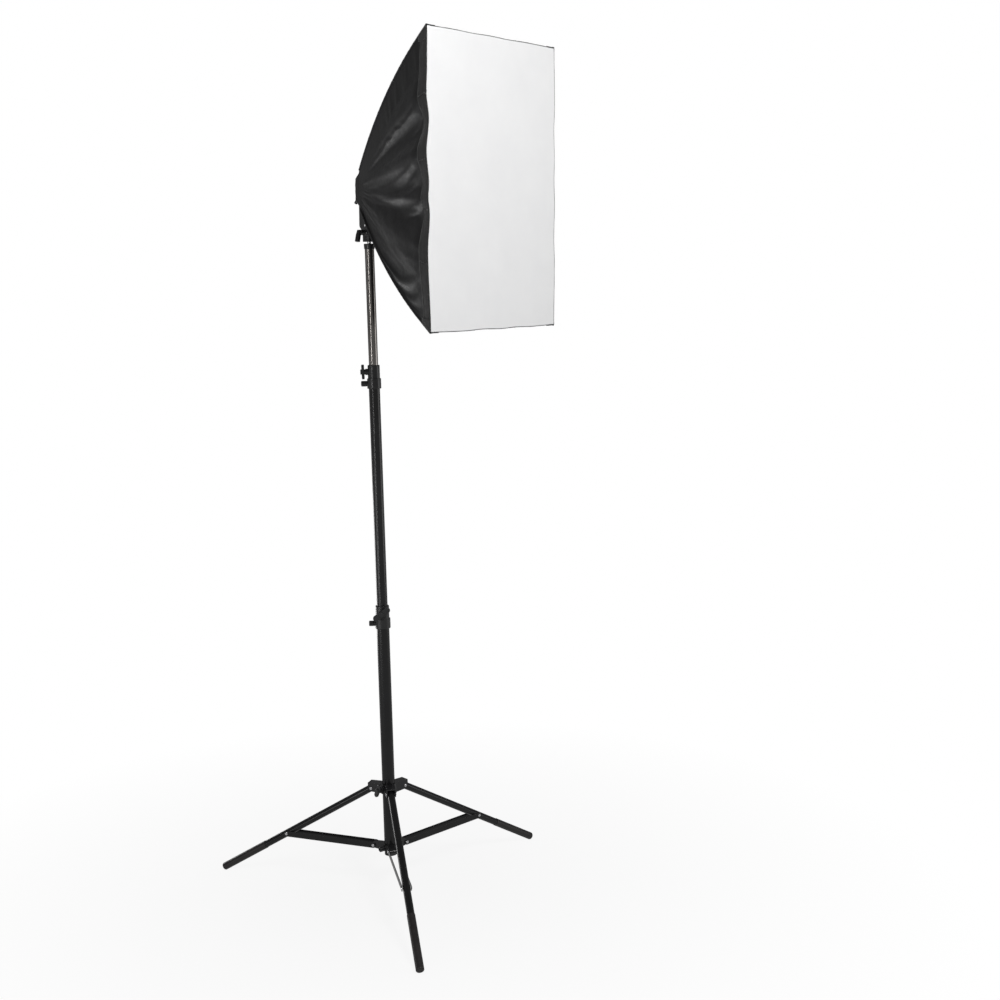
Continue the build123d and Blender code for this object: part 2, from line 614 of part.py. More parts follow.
with BuildPart() as spigot_stud:
    with BuildSketch(Plane.XY.offset(TOP_TUBE_TOP - STUD_FLANGE)):
        Circle(TOP_TUBE_D / 2 - TUBE_WALL)
    extrude(amount=STUD_FLANGE)
    with BuildSketch(Plane.XY.offset(TOP_TUBE_TOP)):
        Circle(STUD_D / 2)
    extrude(amount=CAP_TOP + STUD_RISE)
    chamfer(spigot_stud.edges().sort_by(Axis.Z)[-1], 1)
write(spigot_stud.part, "spigot_stud")

# ---- stand adapter: turns on the stud and holds the tilt joint ----------------------------------
adapter_lock_z = ADAPTER_Z + ADAPTER_LOCK_RISE
cheek_outer = CHEEK_GAP / 2 + CHEEK_WALL
adapter_r = ADAPTER_SOCKET_D / 2

with BuildPart() as stand_adapter:
    with BuildSketch(Plane.XY.offset(ADAPTER_Z)):
        Circle(adapter_r)
    extrude(amount=ADAPTER_SOCKET_H)
    with BuildSketch(Plane.YZ):
        with Locations((0, PIVOT_Z)):
            Circle(CHEEK_ROUND)
        with Locations((0, ADAPTER_Z)):
            Rectangle(2 * CHEEK_ROUND, TILT_PIVOT_RISE, align=(Align.CENTER, Align.MIN))
    extrude(amount=cheek_outer, both=True)
    with BuildSketch(Plane.YZ):
        with Locations((0, ADAPTER_Z + ADAPTER_SOCKET_H)):
            Rectangle(4 * CHEEK_ROUND, 4 * CHEEK_ROUND, align=(Align.CENTER, Align.MIN))
    extrude(amount=CHEEK_GAP / 2, both=True, mode=Mode.SUBTRACT)
    with BuildSketch(Plane.YZ):
        with Locations((0, PIVOT_Z)):
            Circle(TILT_BOLT_D / 2)
    extrude(amount=cheek_outer, both=True, mode=Mode.SUBTRACT)
    with BuildSketch(Plane.XY.offset(ADAPTER_Z)):
        Circle(STUD_D / 2 + RUN)
    extrude(amount=STUD_RISE - ADAPTER_LIFT + STUD_END_GAP, mode=Mode.SUBTRACT)
    with BuildSketch(radial_plane(0, 0, adapter_lock_z)):
        Circle(LOCK_SHANK_D / 2 + RUN)
    extrude(amount=adapter_r, mode=Mode.SUBTRACT)
write(stand_adapter.part, "stand_adapter")

lock_plane = radial_plane(0, adapter_r + SIDE_GAP, adapter_lock_z)
lock_shank = adapter_r + SIDE_GAP - STUD_D / 2 - TIP_GAP
write(wing_knob(lock_plane, ADAPTER_WING_SPAN, lock_shank), "adapter_lock_knob")

with BuildPart() as tilt_bolt:
    with BuildSketch(Plane.YZ.offset(-cheek_outer)):
        with Locations((0, PIVOT_Z)):
            Circle(TILT_BOLT_D / 2)
    extrude(amount=2 * cheek_outer)
    with BuildSketch(Plane.YZ.offset(cheek_outer)):
        with Locations((0, PIVOT_Z)):
            RegularPolygon(TILT_BOLT_HEAD_R, 6)
    extrude(amount=TILT_BOLT_HEAD_L)
    with BuildSketch(Plane.YZ.offset(-cheek_outer)):
        with Locations((0, PIVOT_Z)):
            Circle(TILT_COLLAR_D / 2)
    extrude(amount=-TILT_COLLAR_L)
    with BuildSketch(Plane.YZ.offset(-cheek_outer - TILT_COLLAR_L)):
        with Locations((0, PIVOT_Z)):
            Circle(TILT_THREAD_D / 2)
    extrude(amount=-TILT_THREAD_L)
write(tilt_bolt.part, "tilt_bolt")

# The lever nut stands off the collar and hangs down, leaning outward.
lever_x = -cheek_outer - TILT_COLLAR_L - SIDE_GAP
lever_foot = (lever_x - LEVER_REACH, PIVOT_Z - LEVER_DROP)
lever_knee = (lever_x - LEVER_HUB_L - LEVER_BLADE_W / 2, PIVOT_Z - LEVER_HUB_D / 2)
lever_head = (lever_x - LEVER_HUB_L + LEVER_BLADE_W / 4, PIVOT_Z + LEVER_RISE - LEVER_BLADE_W / 2)
with BuildPart() as tilt_lever:
    with BuildSketch(Plane.YZ.offset(lever_x)):
        with Locations((0, PIVOT_Z)):
            Circle(LEVER_HUB_D / 2)
    extrude(amount=-LEVER_HUB_L)
    with BuildSketch(Plane.XZ):
        with BuildLine() as blade_line:
            Polyline(lever_head, lever_knee, lever_foot)
        trace(blade_line.line, line_width=LEVER_BLADE_W)
    extrude(amount=LEVER_BLADE_T / 2, both=True)
    with BuildSketch(Plane.YZ.offset(lever_x)):
        with Locations((0, PIVOT_Z)):
            Circle(TILT_THREAD_D / 2 + RUN)
    extrude(amount=-LEVER_BORE_L, mode=Mode.SUBTRACT)
write(tilt_lever.part, "tilt_lever")

# ---- tilt arm: from the pivot up to the lamp housing --------------------------------------------
arm_half = CHEEK_GAP / 2 - SIDE_GAP
umbrella_z = PIVOT_Z + UMBRELLA_BORE_RISE
housing_r = HOUSING_D / 2

with BuildPart() as tilt_arm:
    with BuildSketch(Plane.YZ):
        with Locations((0, PIVOT_Z)):
            Circle(ARM_PIVOT_ROUND)
        with Locations((ARM_LOBE[0], PIVOT_Z + ARM_LOBE[1])):
            Circle(ARM_LOBE_ROUND)
        with Locations((ARM_LEAN, AXIS_Z - housing_r)):
            Circle(ARM_HEAD_ROUND)
        make_hull()
    extrude(amount=arm_half, both=True)
    with BuildSketch(Plane.XZ.offset(-3 * ARM_HEAD_ROUND)):
        with Locations((0, AXIS_Z)):
            Circle(housing_r)
    extrude(amount=6 * ARM_HEAD_ROUND, mode=Mode.SUBTRACT)
    with BuildSketch(Plane.YZ):
        with Locations((0, PIVOT_Z)):
            Circle(TILT_BOLT_D / 2 + RUN)
    extrude(amount=arm_half, both=True, mode=Mode.SUBTRACT)
    with BuildSketch(Plane.XZ.offset(-3 * ARM_HEAD_ROUND)):
        with Locations((0, umbrella_z)):
            Circle(UMBRELLA_BORE_D / 2)
    extrude(amount=6 * ARM_HEAD_ROUND, mode=Mode.SUBTRACT)
write_tilted(tilt_arm.part, "tilt_arm")

with BuildPart() as arm_screws:
    for z in (AXIS_Z - housing_r - UPPER_SCREW_DROP, PIVOT_Z + LOWER_SCREW_RISE):
        y = ARM_LEAN * (z - PIVOT_Z) / (AXIS_Z - housing_r - PIVOT_Z)
        with BuildSketch(Plane.YZ.offset(-arm_half)):
            with Locations((y, z)):
                Circle(ARM_SCREW_R)
        extrude(amount=-ARM_SCREW_H, taper=ARM_SCREW_TAPER)
write_tilted(arm_screws.part, "arm_screws")

# ---- lamp housing, rod plate and lamp socket ----------------------------------------------------
with BuildPart() as lamp_housing:
    with BuildSketch(Plane.XZ.offset(-PLATE_REAR_Y)):
        with Locations((0, AXIS_Z)):
            Circle(housing_r)
    extrude(amount=PLATE_REAR_Y - HOUSING_REAR_Y)
    fillet(lamp_housing.edges().filter_by(GeomType.CIRCLE).sort_by(Axis.Y)[-1], HOUSING_ROUND)
    with BuildSketch(Plane.XZ.offset(-PLATE_REAR_Y)):
        with Locations((0, AXIS_Z)):
            Circle(housing_r - HOUSING_WALL)
    extrude(amount=PLATE_REAR_Y - HOUSING_REAR_Y + HOUSING_WALL, mode=Mode.SUBTRACT)
write_tilted(lamp_housing.part, "lamp_housing")


def flare(front_size, rear_size, inset=0.0):
    """Front, middle and rear points (y, half size) of a wall's bowed outline."""
    front = front_size / 2 - inset
    rear = rear_size / 2 - inset
    middle = rear + (front - rear) * (0.5 + BOW)
    middle_y = (BOX_FRONT_Y + SLEEVE_FRONT_Y) / 2
    return (BOX_FRONT_Y, front), (middle_y, middle), (SLEEVE_FRONT_Y, rear)


def front_slope(outline):
    """How much a wall's half size grows for each millimetre of depth, at the front."""
    (front_y, front), (middle_y, middle), (rear_y, rear) = outline
    front_half = (front - middle) / (middle_y - front_y)
    rear_half = (middle - rear) / (rear_y - middle_y)
    return front_half - (rear_half - front_half) / 2


def rod_arc(side, level):
    """The bent line of one support rod, from the rod plate to the front corner."""
    wide = flare(BOX_WIDTH, SLEEVE_SIZE, ROD_INSET)
    high = flare(BOX_HEIGHT, SLEEVE_SIZE, ROD_INSET)
    front_x = wide[0][1] - ROD_TIP_SETBACK * front_slope(wide)
    front_z = high[0][1] - ROD_TIP_SETBACK * front_slope(high)
    return ThreePointArc(
        (side * ROD_ROOT, PLATE_FRONT_Y, AXIS_Z + level * ROD_ROOT),
        (side * wide[1][1], wide[1][0], AXIS_Z + level * high[1][1]),
        (side * front_x, BOX_FRONT_Y + ROD_TIP_SETBACK, AXIS_Z + level * front_z),
    )


CORNERS = [(side, level) for side in (-1, 1) for level in (-1, 1)]

with BuildPart() as support_rods:
    for side, level in CORNERS:
        with BuildLine() as rod_line:
            bend = rod_arc(side, level)
        with BuildSketch(Plane(origin=bend @ 0, z_dir=bend % 0)) as rod_section:
            Circle(ROD_D / 2)
        sweep(sections=rod_section.sketch, path=rod_line.line)
write_tilted(support_rods.part, "support_rods")

with BuildPart() as rod_plate:
    with BuildSketch(Plane.XZ.offset(-PLATE_REAR_Y)):
        with Locations((0, AXIS_Z)):
            RectangleRounded(PLATE_SIZE, PLATE_SIZE, PLATE_ROUND)
    extrude(amount=PLATE_REAR_Y - PLATE_FRONT_Y)
    for side, level in CORNERS:
        with BuildLine(mode=Mode.PRIVATE):
            bend = rod_arc(side, level)
        with BuildSketch(Plane(origin=bend @ 0, z_dir=bend % 0).offset(-ROD_SOCKET_SINK)):
            Circle(ROD_SOCKET_D / 2)
        extrude(amount=ROD_SOCKET_SINK + ROD_SOCKET_L)
    add(support_rods.part, mode=Mode.SUBTRACT)
    with BuildSketch(Plane.XZ.offset(-PLATE_REAR_Y)):
        with Locations((0, AXIS_Z)):
            Circle(SOCKET_D / 2)
    extrude(amount=PLATE_REAR_Y - PLATE_FRONT_Y, mode=Mode.SUBTRACT)
write_tilted(rod_plate.part, "rod_plate")

with BuildPart() as rod_tips:
    for side, level in CORNERS:
        with BuildLine(mode=Mode.PRIVATE):
            bend = rod_arc(side, level)
        with BuildSketch(Plane(origin=bend @ 1, z_dir=bend % 1)):
            Circle(ROD_TIP_D / 2)
        extrude(amount=ROD_TIP_L)
write_tilted(rod_tips.part, "rod_tips")

with BuildPart() as lamp_socket:
    with BuildSketch(Plane.XZ.offset(-SOCKET_REAR_Y)):
        with Locations((0, AXIS_Z)):
            Circle(SOCKET_D / 2)
    extrude(amount=SOCKET_REAR_Y - SOCKET_FRONT_Y)
    fillet(lamp_socket.edges().filter_by(GeomType.CIRCLE).sort_by(Axis.Y)[0], 2)
    with BuildSketch(Plane.XZ.offset(-SOCKET_FRONT_Y)):
        with Locations((0, AXIS_Z)):
            Circle(THREAD_D / 2 + THREAD_WALL)
    extrude(amount=SOCKET_FRONT_Y - THREAD_REAR_Y - CONTACT_H, mode=Mode.SUBTRACT)
write_tilted(lamp_socket.part, "lamp_socket")

with BuildPart() as socket_thread:
    with BuildSketch(Plane.XZ.offset(-THREAD_REAR_Y)):
        with Locations((0, AXIS_Z)):
            Circle(THREAD_D / 2 + THREAD_WALL)
            Circle(THREAD_D / 2, mode=Mode.SUBTRACT)
    extrude(amount=THREAD_REAR_Y - SOCKET_FRONT_Y - THREAD_SETBACK)
write_tilted(socket_thread.part, "socket_thread")

with BuildPart() as socket_contact:
    with BuildSketch(Plane.XZ.offset(-THREAD_REAR_Y - CONTACT_H)):
        with Locations((0, AXIS_Z)):
            Circle(CONTACT_D / 2)
    extrude(amount=CONTACT_H)
write_tilted(socket_contact.part, "socket_contact")

# ---- cord gland on the back of the housing ------------------------------------------------------
gland_root = Vector(GLAND_X, HOUSING_REAR_Y, AXIS_Z - GLAND_BELOW)
gland_way = Vector(0, sin(radians(GLAND_ANGLE)), -cos(radians(GLAND_ANGLE)))
with BuildPart() as cord_gland:
    with BuildSketch(Plane.XZ.offset(-HOUSING_REAR_Y)):
        with Locations((gland_root.X, gland_root.Z)):
            Circle(GLAND_D / 2 + 1)
    extrude(amount=-GLAND_FLANGE)
    with BuildSketch(Plane(origin=gland_root, z_dir=gland_way)):
        Circle(GLAND_D / 2)
    extrude(amount=GLAND_L, taper=GLAND_TAPER)
    split(bisect_by=Plane.XZ.offset(-HOUSING_REAR_Y), keep=Keep.BOTTOM)
    with BuildSketch(Plane(origin=gland_root + gland_way * GLAND_L, z_dir=gland_way)):
        Circle(GLAND_BORE_D / 2)
    extrude(amount=-GLAND_L / 2, mode=Mode.SUBTRACT)
write_tilted(cord_gland.part, "cord_gland")

# ---- lamp ---------------------------------------------------------------------------------------
bulb_cap_front_y = SOCKET_FRONT_Y - BULB_CAP_GAP
lamp_axis = Axis((0, 0, AXIS_Z), (0, 1, 0))

with BuildPart() as bulb_cap:
    with BuildSketch(Plane.XY.offset(AXIS_Z)):
        with BuildLine():
            Polyline(
                (0, THREAD_REAR_Y),
                (CONTACT_D / 2, THREAD_REAR_Y),
                (CONTACT_D / 2 + 1, THREAD_REAR_Y - 2),
                (BULB_CAP_D / 2, THREAD_REAR_Y - 6),
                (BULB_CAP_D / 2, bulb_cap_front_y),
                (0, bulb_cap_front_y),
                close=True,
            )
        make_face()
    revolve(axis=lamp_axis)
write_tilted(bulb_cap.part, "bulb_cap")

with BuildPart() as bulb_ballast:
    with BuildSketch(Plane.XY.offset(AXIS_Z)):
        with BuildLine():
            Polyline(
                (0, bulb_cap_front_y),
                (BULB_CAP_D / 2 + 2, bulb_cap_front_y),
                (BALLAST_D / 2 - 4, bulb_cap_front_y - BALLAST_NECK),
                (BALLAST_D / 2, bulb_cap_front_y - BALLAST_SHOULDER),
                (BALLAST_D / 2, BALLAST_FRONT_Y + 6),
                (BALLAST_D / 2 - 3, BALLAST_FRONT_Y),
                (0, BALLAST_FRONT_Y),
                close=True,
            )
        make_face()
    revolve(axis=lamp_axis)
write_tilted(bulb_ballast.part, "bulb_ballast")

with BuildPart() as bulb_tubes:
    for quarter in range(4):
        ends = []
        for turn in (-22.5, 22.5):
            angle = radians(90 * quarter + turn)
            ends.append((LAMP_TUBE_CIRCLE_R * cos(angle), AXIS_Z + LAMP_TUBE_CIRCLE_R * sin(angle)))
        (x1, z1), (x2, z2) = ends
        bend_r = hypot(x2 - x1, z2 - z1) / 2
        with BuildLine() as tube_line:
            leg_out = Line((x1, BALLAST_FRONT_Y, z1), (x1, LAMP_TUBE_FRONT_Y, z1))
            tip = ((x1 + x2) / 2, LAMP_TUBE_FRONT_Y - bend_r, (z1 + z2) / 2)
            bend = ThreePointArc(leg_out @ 1, tip, (x2, LAMP_TUBE_FRONT_Y, z2))
            Line(bend @ 1, (x2, BALLAST_FRONT_Y, z2))
        with BuildSketch(Plane(origin=leg_out @ 0, z_dir=leg_out % 0)) as tube_section:
            Circle(LAMP_TUBE_D / 2)
        sweep(sections=tube_section.sketch, path=tube_line.line)
write_tilted(bulb_tubes.part, "bulb_tubes")


# ---- softbox fabric -----------------------------------------------------------------------------
def flare_face(sketch_plane, size, inset, swapped):
    """The area inside two opposite bowed walls, as a sketch on a plane through the box's axis."""
    front, middle, rear = flare(size, SLEEVE_SIZE, inset)
    right = [(half, y) if not swapped else (y, half) for y, half in (front, middle, rear)]
    left = [(-half, y) if not swapped else (y, -half) for y, half in (front, middle, rear)]
    with BuildSketch(sketch_plane) as face:
        with BuildLine():
            ThreePointArc(*right)
            Line(right[2], left[2])
            ThreePointArc(*left)
            Line(left[0], right[0])
        make_face()
    return face.sketch


PLAN = Plane.XY.offset(AXIS_Z)
SIDE_VIEW = Plane(origin=(0, 0, AXIS_Z), x_dir=(0, 1, 0), z_dir=(1, 0, 0))
HEM_PLANE = Plane.XZ.offset(-BOX_FRONT_Y - HEM_DEPTH)
FRONT_PLANE = Plane.XZ.offset(-BOX_FRONT_Y - FABRIC)

with BuildPart() as side_panels:
    extrude(flare_face(PLAN, BOX_WIDTH, 0, False), amount=BOX_HEIGHT, both=True)
    extrude(
        flare_face(SIDE_VIEW, BOX_HEIGHT, 0, True), amount=BOX_WIDTH, both=True, mode=Mode.INTERSECT
    )
    extrude(
        flare_face(PLAN, BOX_WIDTH, FABRIC, False), amount=BOX_HEIGHT, both=True, mode=Mode.SUBTRACT
    )
    split(bisect_by=HEM_PLANE, keep=Keep.BOTTOM)
left_and_right = side_panels.solids().sort_by(Axis.X)
write_tilted(left_and_right[0], "panel_left")
write_tilted(left_and_right[-1], "panel_right")

with BuildPart() as end_panels:
    extrude(flare_face(PLAN, BOX_WIDTH, FABRIC, False), amount=BOX_HEIGHT, both=True)
    extrude(
        flare_face(SIDE_VIEW, BOX_HEIGHT, 0, True), amount=BOX_WIDTH, both=True, mode=Mode.INTERSECT
    )
    extrude(
        flare_face(SIDE_VIEW, BOX_HEIGHT, FABRIC, True),
        amount=BOX_WIDTH,
        both=True,
        mode=Mode.SUBTRACT,
    )
    split(bisect_by=HEM_PLANE, keep=Keep.BOTTOM)
bottom_and_top = end_panels.solids().sort_by(Axis.Z)
write_tilted(bottom_and_top[0], "panel_bottom")
write_tilted(bottom_and_top[-1], "panel_top")

with BuildPart() as front_hem:
    extrude(flare_face(PLAN, BOX_WIDTH, 0, False), amount=BOX_HEIGHT, both=True)
    extrude(
        flare_face(SIDE_VIEW, BOX_HEIGHT, 0, True), amount=BOX_WIDTH, both=True, mode=Mode.INTERSECT
    )
    split(bisect_by=HEM_PLANE, keep=Keep.TOP)
    split(bisect_by=FRONT_PLANE, keep=Keep.BOTTOM)
    with BuildPart(mode=Mode.SUBTRACT):
        extrude(flare_face(PLAN, BOX_WIDTH, HEM_THICKNESS, False), amount=BOX_HEIGHT, both=True)
        extrude(
            flare_face(SIDE_VIEW, BOX_HEIGHT, HEM_THICKNESS, True),
            amount=BOX_WIDTH,
            both=True,
            mode=Mode.INTERSECT,
        )
write_tilted(front_hem.part, "front_hem")

with BuildPart() as front_diffuser:
    with BuildSketch(Plane.XZ.offset(-BOX_FRONT_Y)):
        with Locations((0, AXIS_Z)):
            RectangleRounded(BOX_WIDTH, BOX_HEIGHT, 6)
    extrude(amount=-FABRIC)
write_tilted(front_diffuser.part, "front_diffuser")

# ---- rear sleeve around the housing, with a slot for the arm ------------------------------------
slot_half = arm_half + ARM_SLOT_GAP
slot_front_y = ARM_LEAN - ARM_HEAD_ROUND - ARM_SLOT_FRONT_GAP
slot_length = 2 * (SLEEVE_REAR_Y - slot_front_y)

with BuildPart() as rear_sleeve:
    for shrink, mode in ((0, Mode.ADD), (FABRIC, Mode.SUBTRACT)):
        with BuildPart(mode=mode):
            with BuildSketch(Plane.XZ.offset(-SLEEVE_FRONT_Y)):
                with Locations((0, AXIS_Z)):
                    Rectangle(SLEEVE_SIZE - 2 * shrink, SLEEVE_SIZE - 2 * shrink)
            with BuildSketch(Plane.XZ.offset(-SLEEVE_REAR_Y)):
                with Locations((0, AXIS_Z)):
                    Rectangle(SLEEVE_REAR_SIZE - 2 * shrink, SLEEVE_REAR_SIZE - 2 * shrink)
            loft()
    with BuildSketch(Plane.XZ.offset(-SLEEVE_REAR_Y)):
        with Locations((0, AXIS_Z)):
            Rectangle(SLEEVE_REAR_SIZE, SLEEVE_REAR_SIZE)
            Circle(housing_r + FLAP_GAP, mode=Mode.SUBTRACT)
    extrude(amount=-FABRIC)
    with BuildSketch(Plane.XY.offset(AXIS_Z - SLEEVE_SIZE / 2 - 1)):
        with Locations((0, slot_front_y)):
            Rectangle(2 * slot_half, slot_length, align=(Align.CENTER, Align.MIN))
    extrude(amount=SLEEVE_SIZE / 4, mode=Mode.SUBTRACT)
write_tilted(rear_sleeve.part, "rear_sleeve")
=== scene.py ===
import json
from math import cos, pi, radians, sin

import bpy
from mathutils import Matrix, Vector, noise


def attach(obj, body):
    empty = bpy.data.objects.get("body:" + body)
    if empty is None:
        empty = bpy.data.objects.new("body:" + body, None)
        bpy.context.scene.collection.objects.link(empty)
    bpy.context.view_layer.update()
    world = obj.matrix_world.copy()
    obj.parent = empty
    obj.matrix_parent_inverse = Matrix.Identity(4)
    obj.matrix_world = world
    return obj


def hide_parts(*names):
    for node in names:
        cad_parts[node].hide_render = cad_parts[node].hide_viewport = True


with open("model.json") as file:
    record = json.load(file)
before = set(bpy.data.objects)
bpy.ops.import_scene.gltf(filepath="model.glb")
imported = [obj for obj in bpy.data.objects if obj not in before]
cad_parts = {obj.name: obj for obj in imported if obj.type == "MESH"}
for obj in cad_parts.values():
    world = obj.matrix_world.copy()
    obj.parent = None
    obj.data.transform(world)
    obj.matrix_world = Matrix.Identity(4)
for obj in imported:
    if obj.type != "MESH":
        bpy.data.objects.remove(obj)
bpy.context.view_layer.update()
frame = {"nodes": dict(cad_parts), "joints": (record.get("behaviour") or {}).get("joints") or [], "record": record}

# Studio softbox: the looks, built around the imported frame. Metres, in the frame's own axes:
# origin on the floor on the column's axis, +Z up, the softbox faces -Y.

scene = bpy.context.scene

# ---- places taken from the frame ----------------------------------------------------------------
REST_TILT = radians(1.3)  # the head's lean at rest, front down
joints = {joint["name"]: joint for joint in frame["joints"]}
PIVOT = Vector(joints["head_tilt"]["pos_m"])
AXIS_ABOVE_PIVOT = 0.109
LEVEL_AXIS_Z = PIVOT.z + AXIS_ABOVE_PIVOT  # the softbox's axis before the head is tilted
TILT = Matrix.Translation(PIVOT) @ Matrix.Rotation(REST_TILT, 4, "X") @ Matrix.Translation(-PIVOT)

# ---- softbox sizes, in the level head's frame ---------------------------------------------------
HALF_WIDTH = 0.250
HALF_HEIGHT = 0.350
FRONT_Y = -0.422
REAR_Y = -0.010  # where the walls meet the rear sleeve
SLEEVE_HALF = 0.0447  # the sleeve's half size there
SLEEVE_REAR_Y = 0.0125
SLEEVE_REAR_HALF = 0.033
HOUSING_R = 0.029
SLOT_HALF = 0.0095  # half the width of the sleeve's slot for the arm
SLOT_FRONT_Y = 0.003
BOW = 0.066  # how far the walls bow out at mid depth, as a share of their flare
HEM_DEPTH = 0.030
NYLON = 0.001  # thickness of the walls' cloth


# ---- node helpers -------------------------------------------------------------------------------
SOCKETS = {
    "metallic": "Metallic",
    "roughness": "Roughness",
    "coat": "Coat Weight",
    "coat_roughness": "Coat Roughness",
    "sheen": "Sheen Weight",
    "sheen_roughness": "Sheen Roughness",
    "specular": "Specular IOR Level",
    "subsurface": "Subsurface Weight",
}


class Nodes:
    """Builds one material's node tree."""

    def __init__(self, name):
        self.material = bpy.data.materials.new(name)
        self.material.use_nodes = True
        self.tree = self.material.node_tree
        self.shader = self.tree.nodes["Principled BSDF"]

    def add(self, kind, **settings):
        node = self.tree.nodes.new(kind)
        for key, value in settings.items():
            setattr(node, key, value)
        return node

    def link(self, source, target):
        self.tree.links.new(source, target)

    def place(self, scale=(1, 1, 1), source="Object"):
        """Texture coordinates in metres, times a scale."""
        where = self.add("ShaderNodeTexCoord")
        mapping = self.add("ShaderNodeMapping")
        mapping.inputs["Scale"].default_value = scale
        self.link(where.outputs[source], mapping.inputs["Vector"])
        return mapping.outputs["Vector"]

    def noise(self, scale, detail=3.0, roughness=0.55, stretch=(1, 1, 1), source="Object"):
        texture = self.add("ShaderNodeTexNoise")
        texture.inputs["Scale"].default_value = scale
        texture.inputs["Detail"].default_value = detail
        texture.inputs["Roughness"].default_value = roughness
        self.link(self.place(stretch, source), texture.inputs["Vector"])
        return texture.outputs["Fac"]

    def spread(self, value, low, high, start=0.3, end=0.7):
        """Maps a texture's middle range to low..high."""
        node = self.add("ShaderNodeMapRange")
        numbers = {"From Min": start, "From Max": end, "To Min": low, "To Max": high}
        for name, number in numbers.items():
            node.inputs[name].default_value = number
        self.link(value, node.inputs["Value"])
        return node.outputs["Result"]

    def mix(self, share, dark, light):
        """A colour between two others, or between a colour and what another node gives."""
        node = self.add("ShaderNodeMix", data_type="RGBA")
        for socket, colour in ((node.inputs[6], dark), (node.inputs[7], light)):
            if isinstance(colour, tuple):
                socket.default_value = (*colour, 1)
            else:
                self.link(colour, socket)
        self.link(share, node.inputs[0])
        return node.outputs[2]

    def math(self, operation, *values):
        node = self.add("ShaderNodeMath", operation=operation)
        for socket, value in zip(node.inputs, values):
            if isinstance(value, (int, float)):
                socket.default_value = value
            else:
                self.link(value, socket)
        return node.outputs[0]

    def bump(self, height, distance, strength=1.0, under=None):
        node = self.add("ShaderNodeBump")
        node.inputs["Strength"].default_value = strength
        node.inputs["Distance"].default_value = distance
        self.link(height, node.inputs["Height"])
        if under is not None:
            self.link(under, node.inputs["Normal"])
        return node.outputs["Normal"]

    def round_edges(self, radius):
        node = self.add("ShaderNodeBevel", samples=6)
        node.inputs["Radius"].default_value = radius
        return node.outputs["Normal"]

    def edge_mask(self, radius):
        """1 along convex and concave edges, 0 on open faces."""
        soft = self.round_edges(radius)
        hard = self.add("ShaderNodeNewGeometry").outputs["Normal"]
        dot = self.add("ShaderNodeVectorMath", operation="DOT_PRODUCT")
        self.link(soft, dot.inputs[0])
        self.link(hard, dot.inputs[1])
        return self.spread(dot.outputs["Value"], 1.0, 0.0, 0.80, 0.985)

    def set(self, **values):
        """Sets the shader's sockets: a number on the socket itself, anything else by a link."""
        for key, value in values.items():
            socket = self.shader.inputs[SOCKETS[key]]
            if isinstance(value, (int, float)):
                socket.default_value = value
            else:
                self.link(value, socket)

    def colour(self, value):
        if isinstance(value, tuple):
            self.shader.inputs["Base Color"].default_value = (*value, 1)
        else:
            self.link(value, self.shader.inputs["Base Color"])

    def normal(self, value):
        self.link(value, self.shader.inputs["Normal"])


RUBBED_PAINT = (0.32, 0.32, 0.33)
RUBBED_PLASTIC = (0.20, 0.20, 0.205)
WAVE_PERIOD = 0.314  # metres between two bands of a wave texture at scale 1


def painted_metal(name, dark, light, rough, wear):
    """Powder or gloss paint on steel tube: orange peel, rubbed edges, fine dust."""
    n = Nodes(name)
    patches = n.spread(n.noise(14, 4), 0, 1)
    base = n.mix(patches, dark, light)
    edges = n.math("MULTIPLY", n.edge_mask(0.0008), n.spread(n.noise(160, 3), 0, wear, 0.45, 0.65))
    n.colour(n.mix(edges, base, RUBBED_PAINT))
    n.set(roughness=n.spread(n.noise(38, 4, stretch=(1, 1, 0.25)), rough * 0.8, rough * 1.35))
    n.set(coat=0.15, coat_roughness=0.08, specular=0.4)
    n.normal(n.bump(n.noise(1500, 2), 0.00005, 0.35, n.round_edges(0.0006)))
    return n.material


def polished_metal(name, dark, light, rough):
    """Plated or drawn metal with lengthwise draw lines and light smears."""
    n = Nodes(name)
    n.colour(n.mix(n.spread(n.noise(22, 4), 0, 1), dark, light))
    smears = n.spread(n.noise(30, 5, stretch=(1, 1, 0.15)), rough * 0.85, rough * 1.25)
    n.set(metallic=1.0, roughness=smears)
    lines = n.noise(420, 3, stretch=(1, 1, 0.04))
    n.normal(n.bump(lines, 0.000002, 0.10, n.round_edges(0.0005)))
    return n.material


def moulded_plastic(name, dark, light, rough, grain=900, coat=0.0, wear=0.25):
    """Moulded plastic: fine eroded grain, colour drift, edges rubbed to a shine."""
    n = Nodes(name)
    base = n.mix(n.spread(n.noise(26, 4), 0, 1), dark, light)
    rubbed = n.math("MULTIPLY", n.edge_mask(0.0010), n.spread(n.noise(140, 3), 0, wear, 0.4, 0.7))
    n.colour(n.mix(rubbed, base, RUBBED_PLASTIC))
    n.set(roughness=n.spread(n.noise(60, 4), rough * 0.85, rough * 1.25))
    n.set(coat=coat, coat_roughness=0.10, specular=0.5)
    n.normal(n.bump(n.noise(grain, 2), 0.00006, 0.5, n.round_edges(0.0008)))
    return n.material


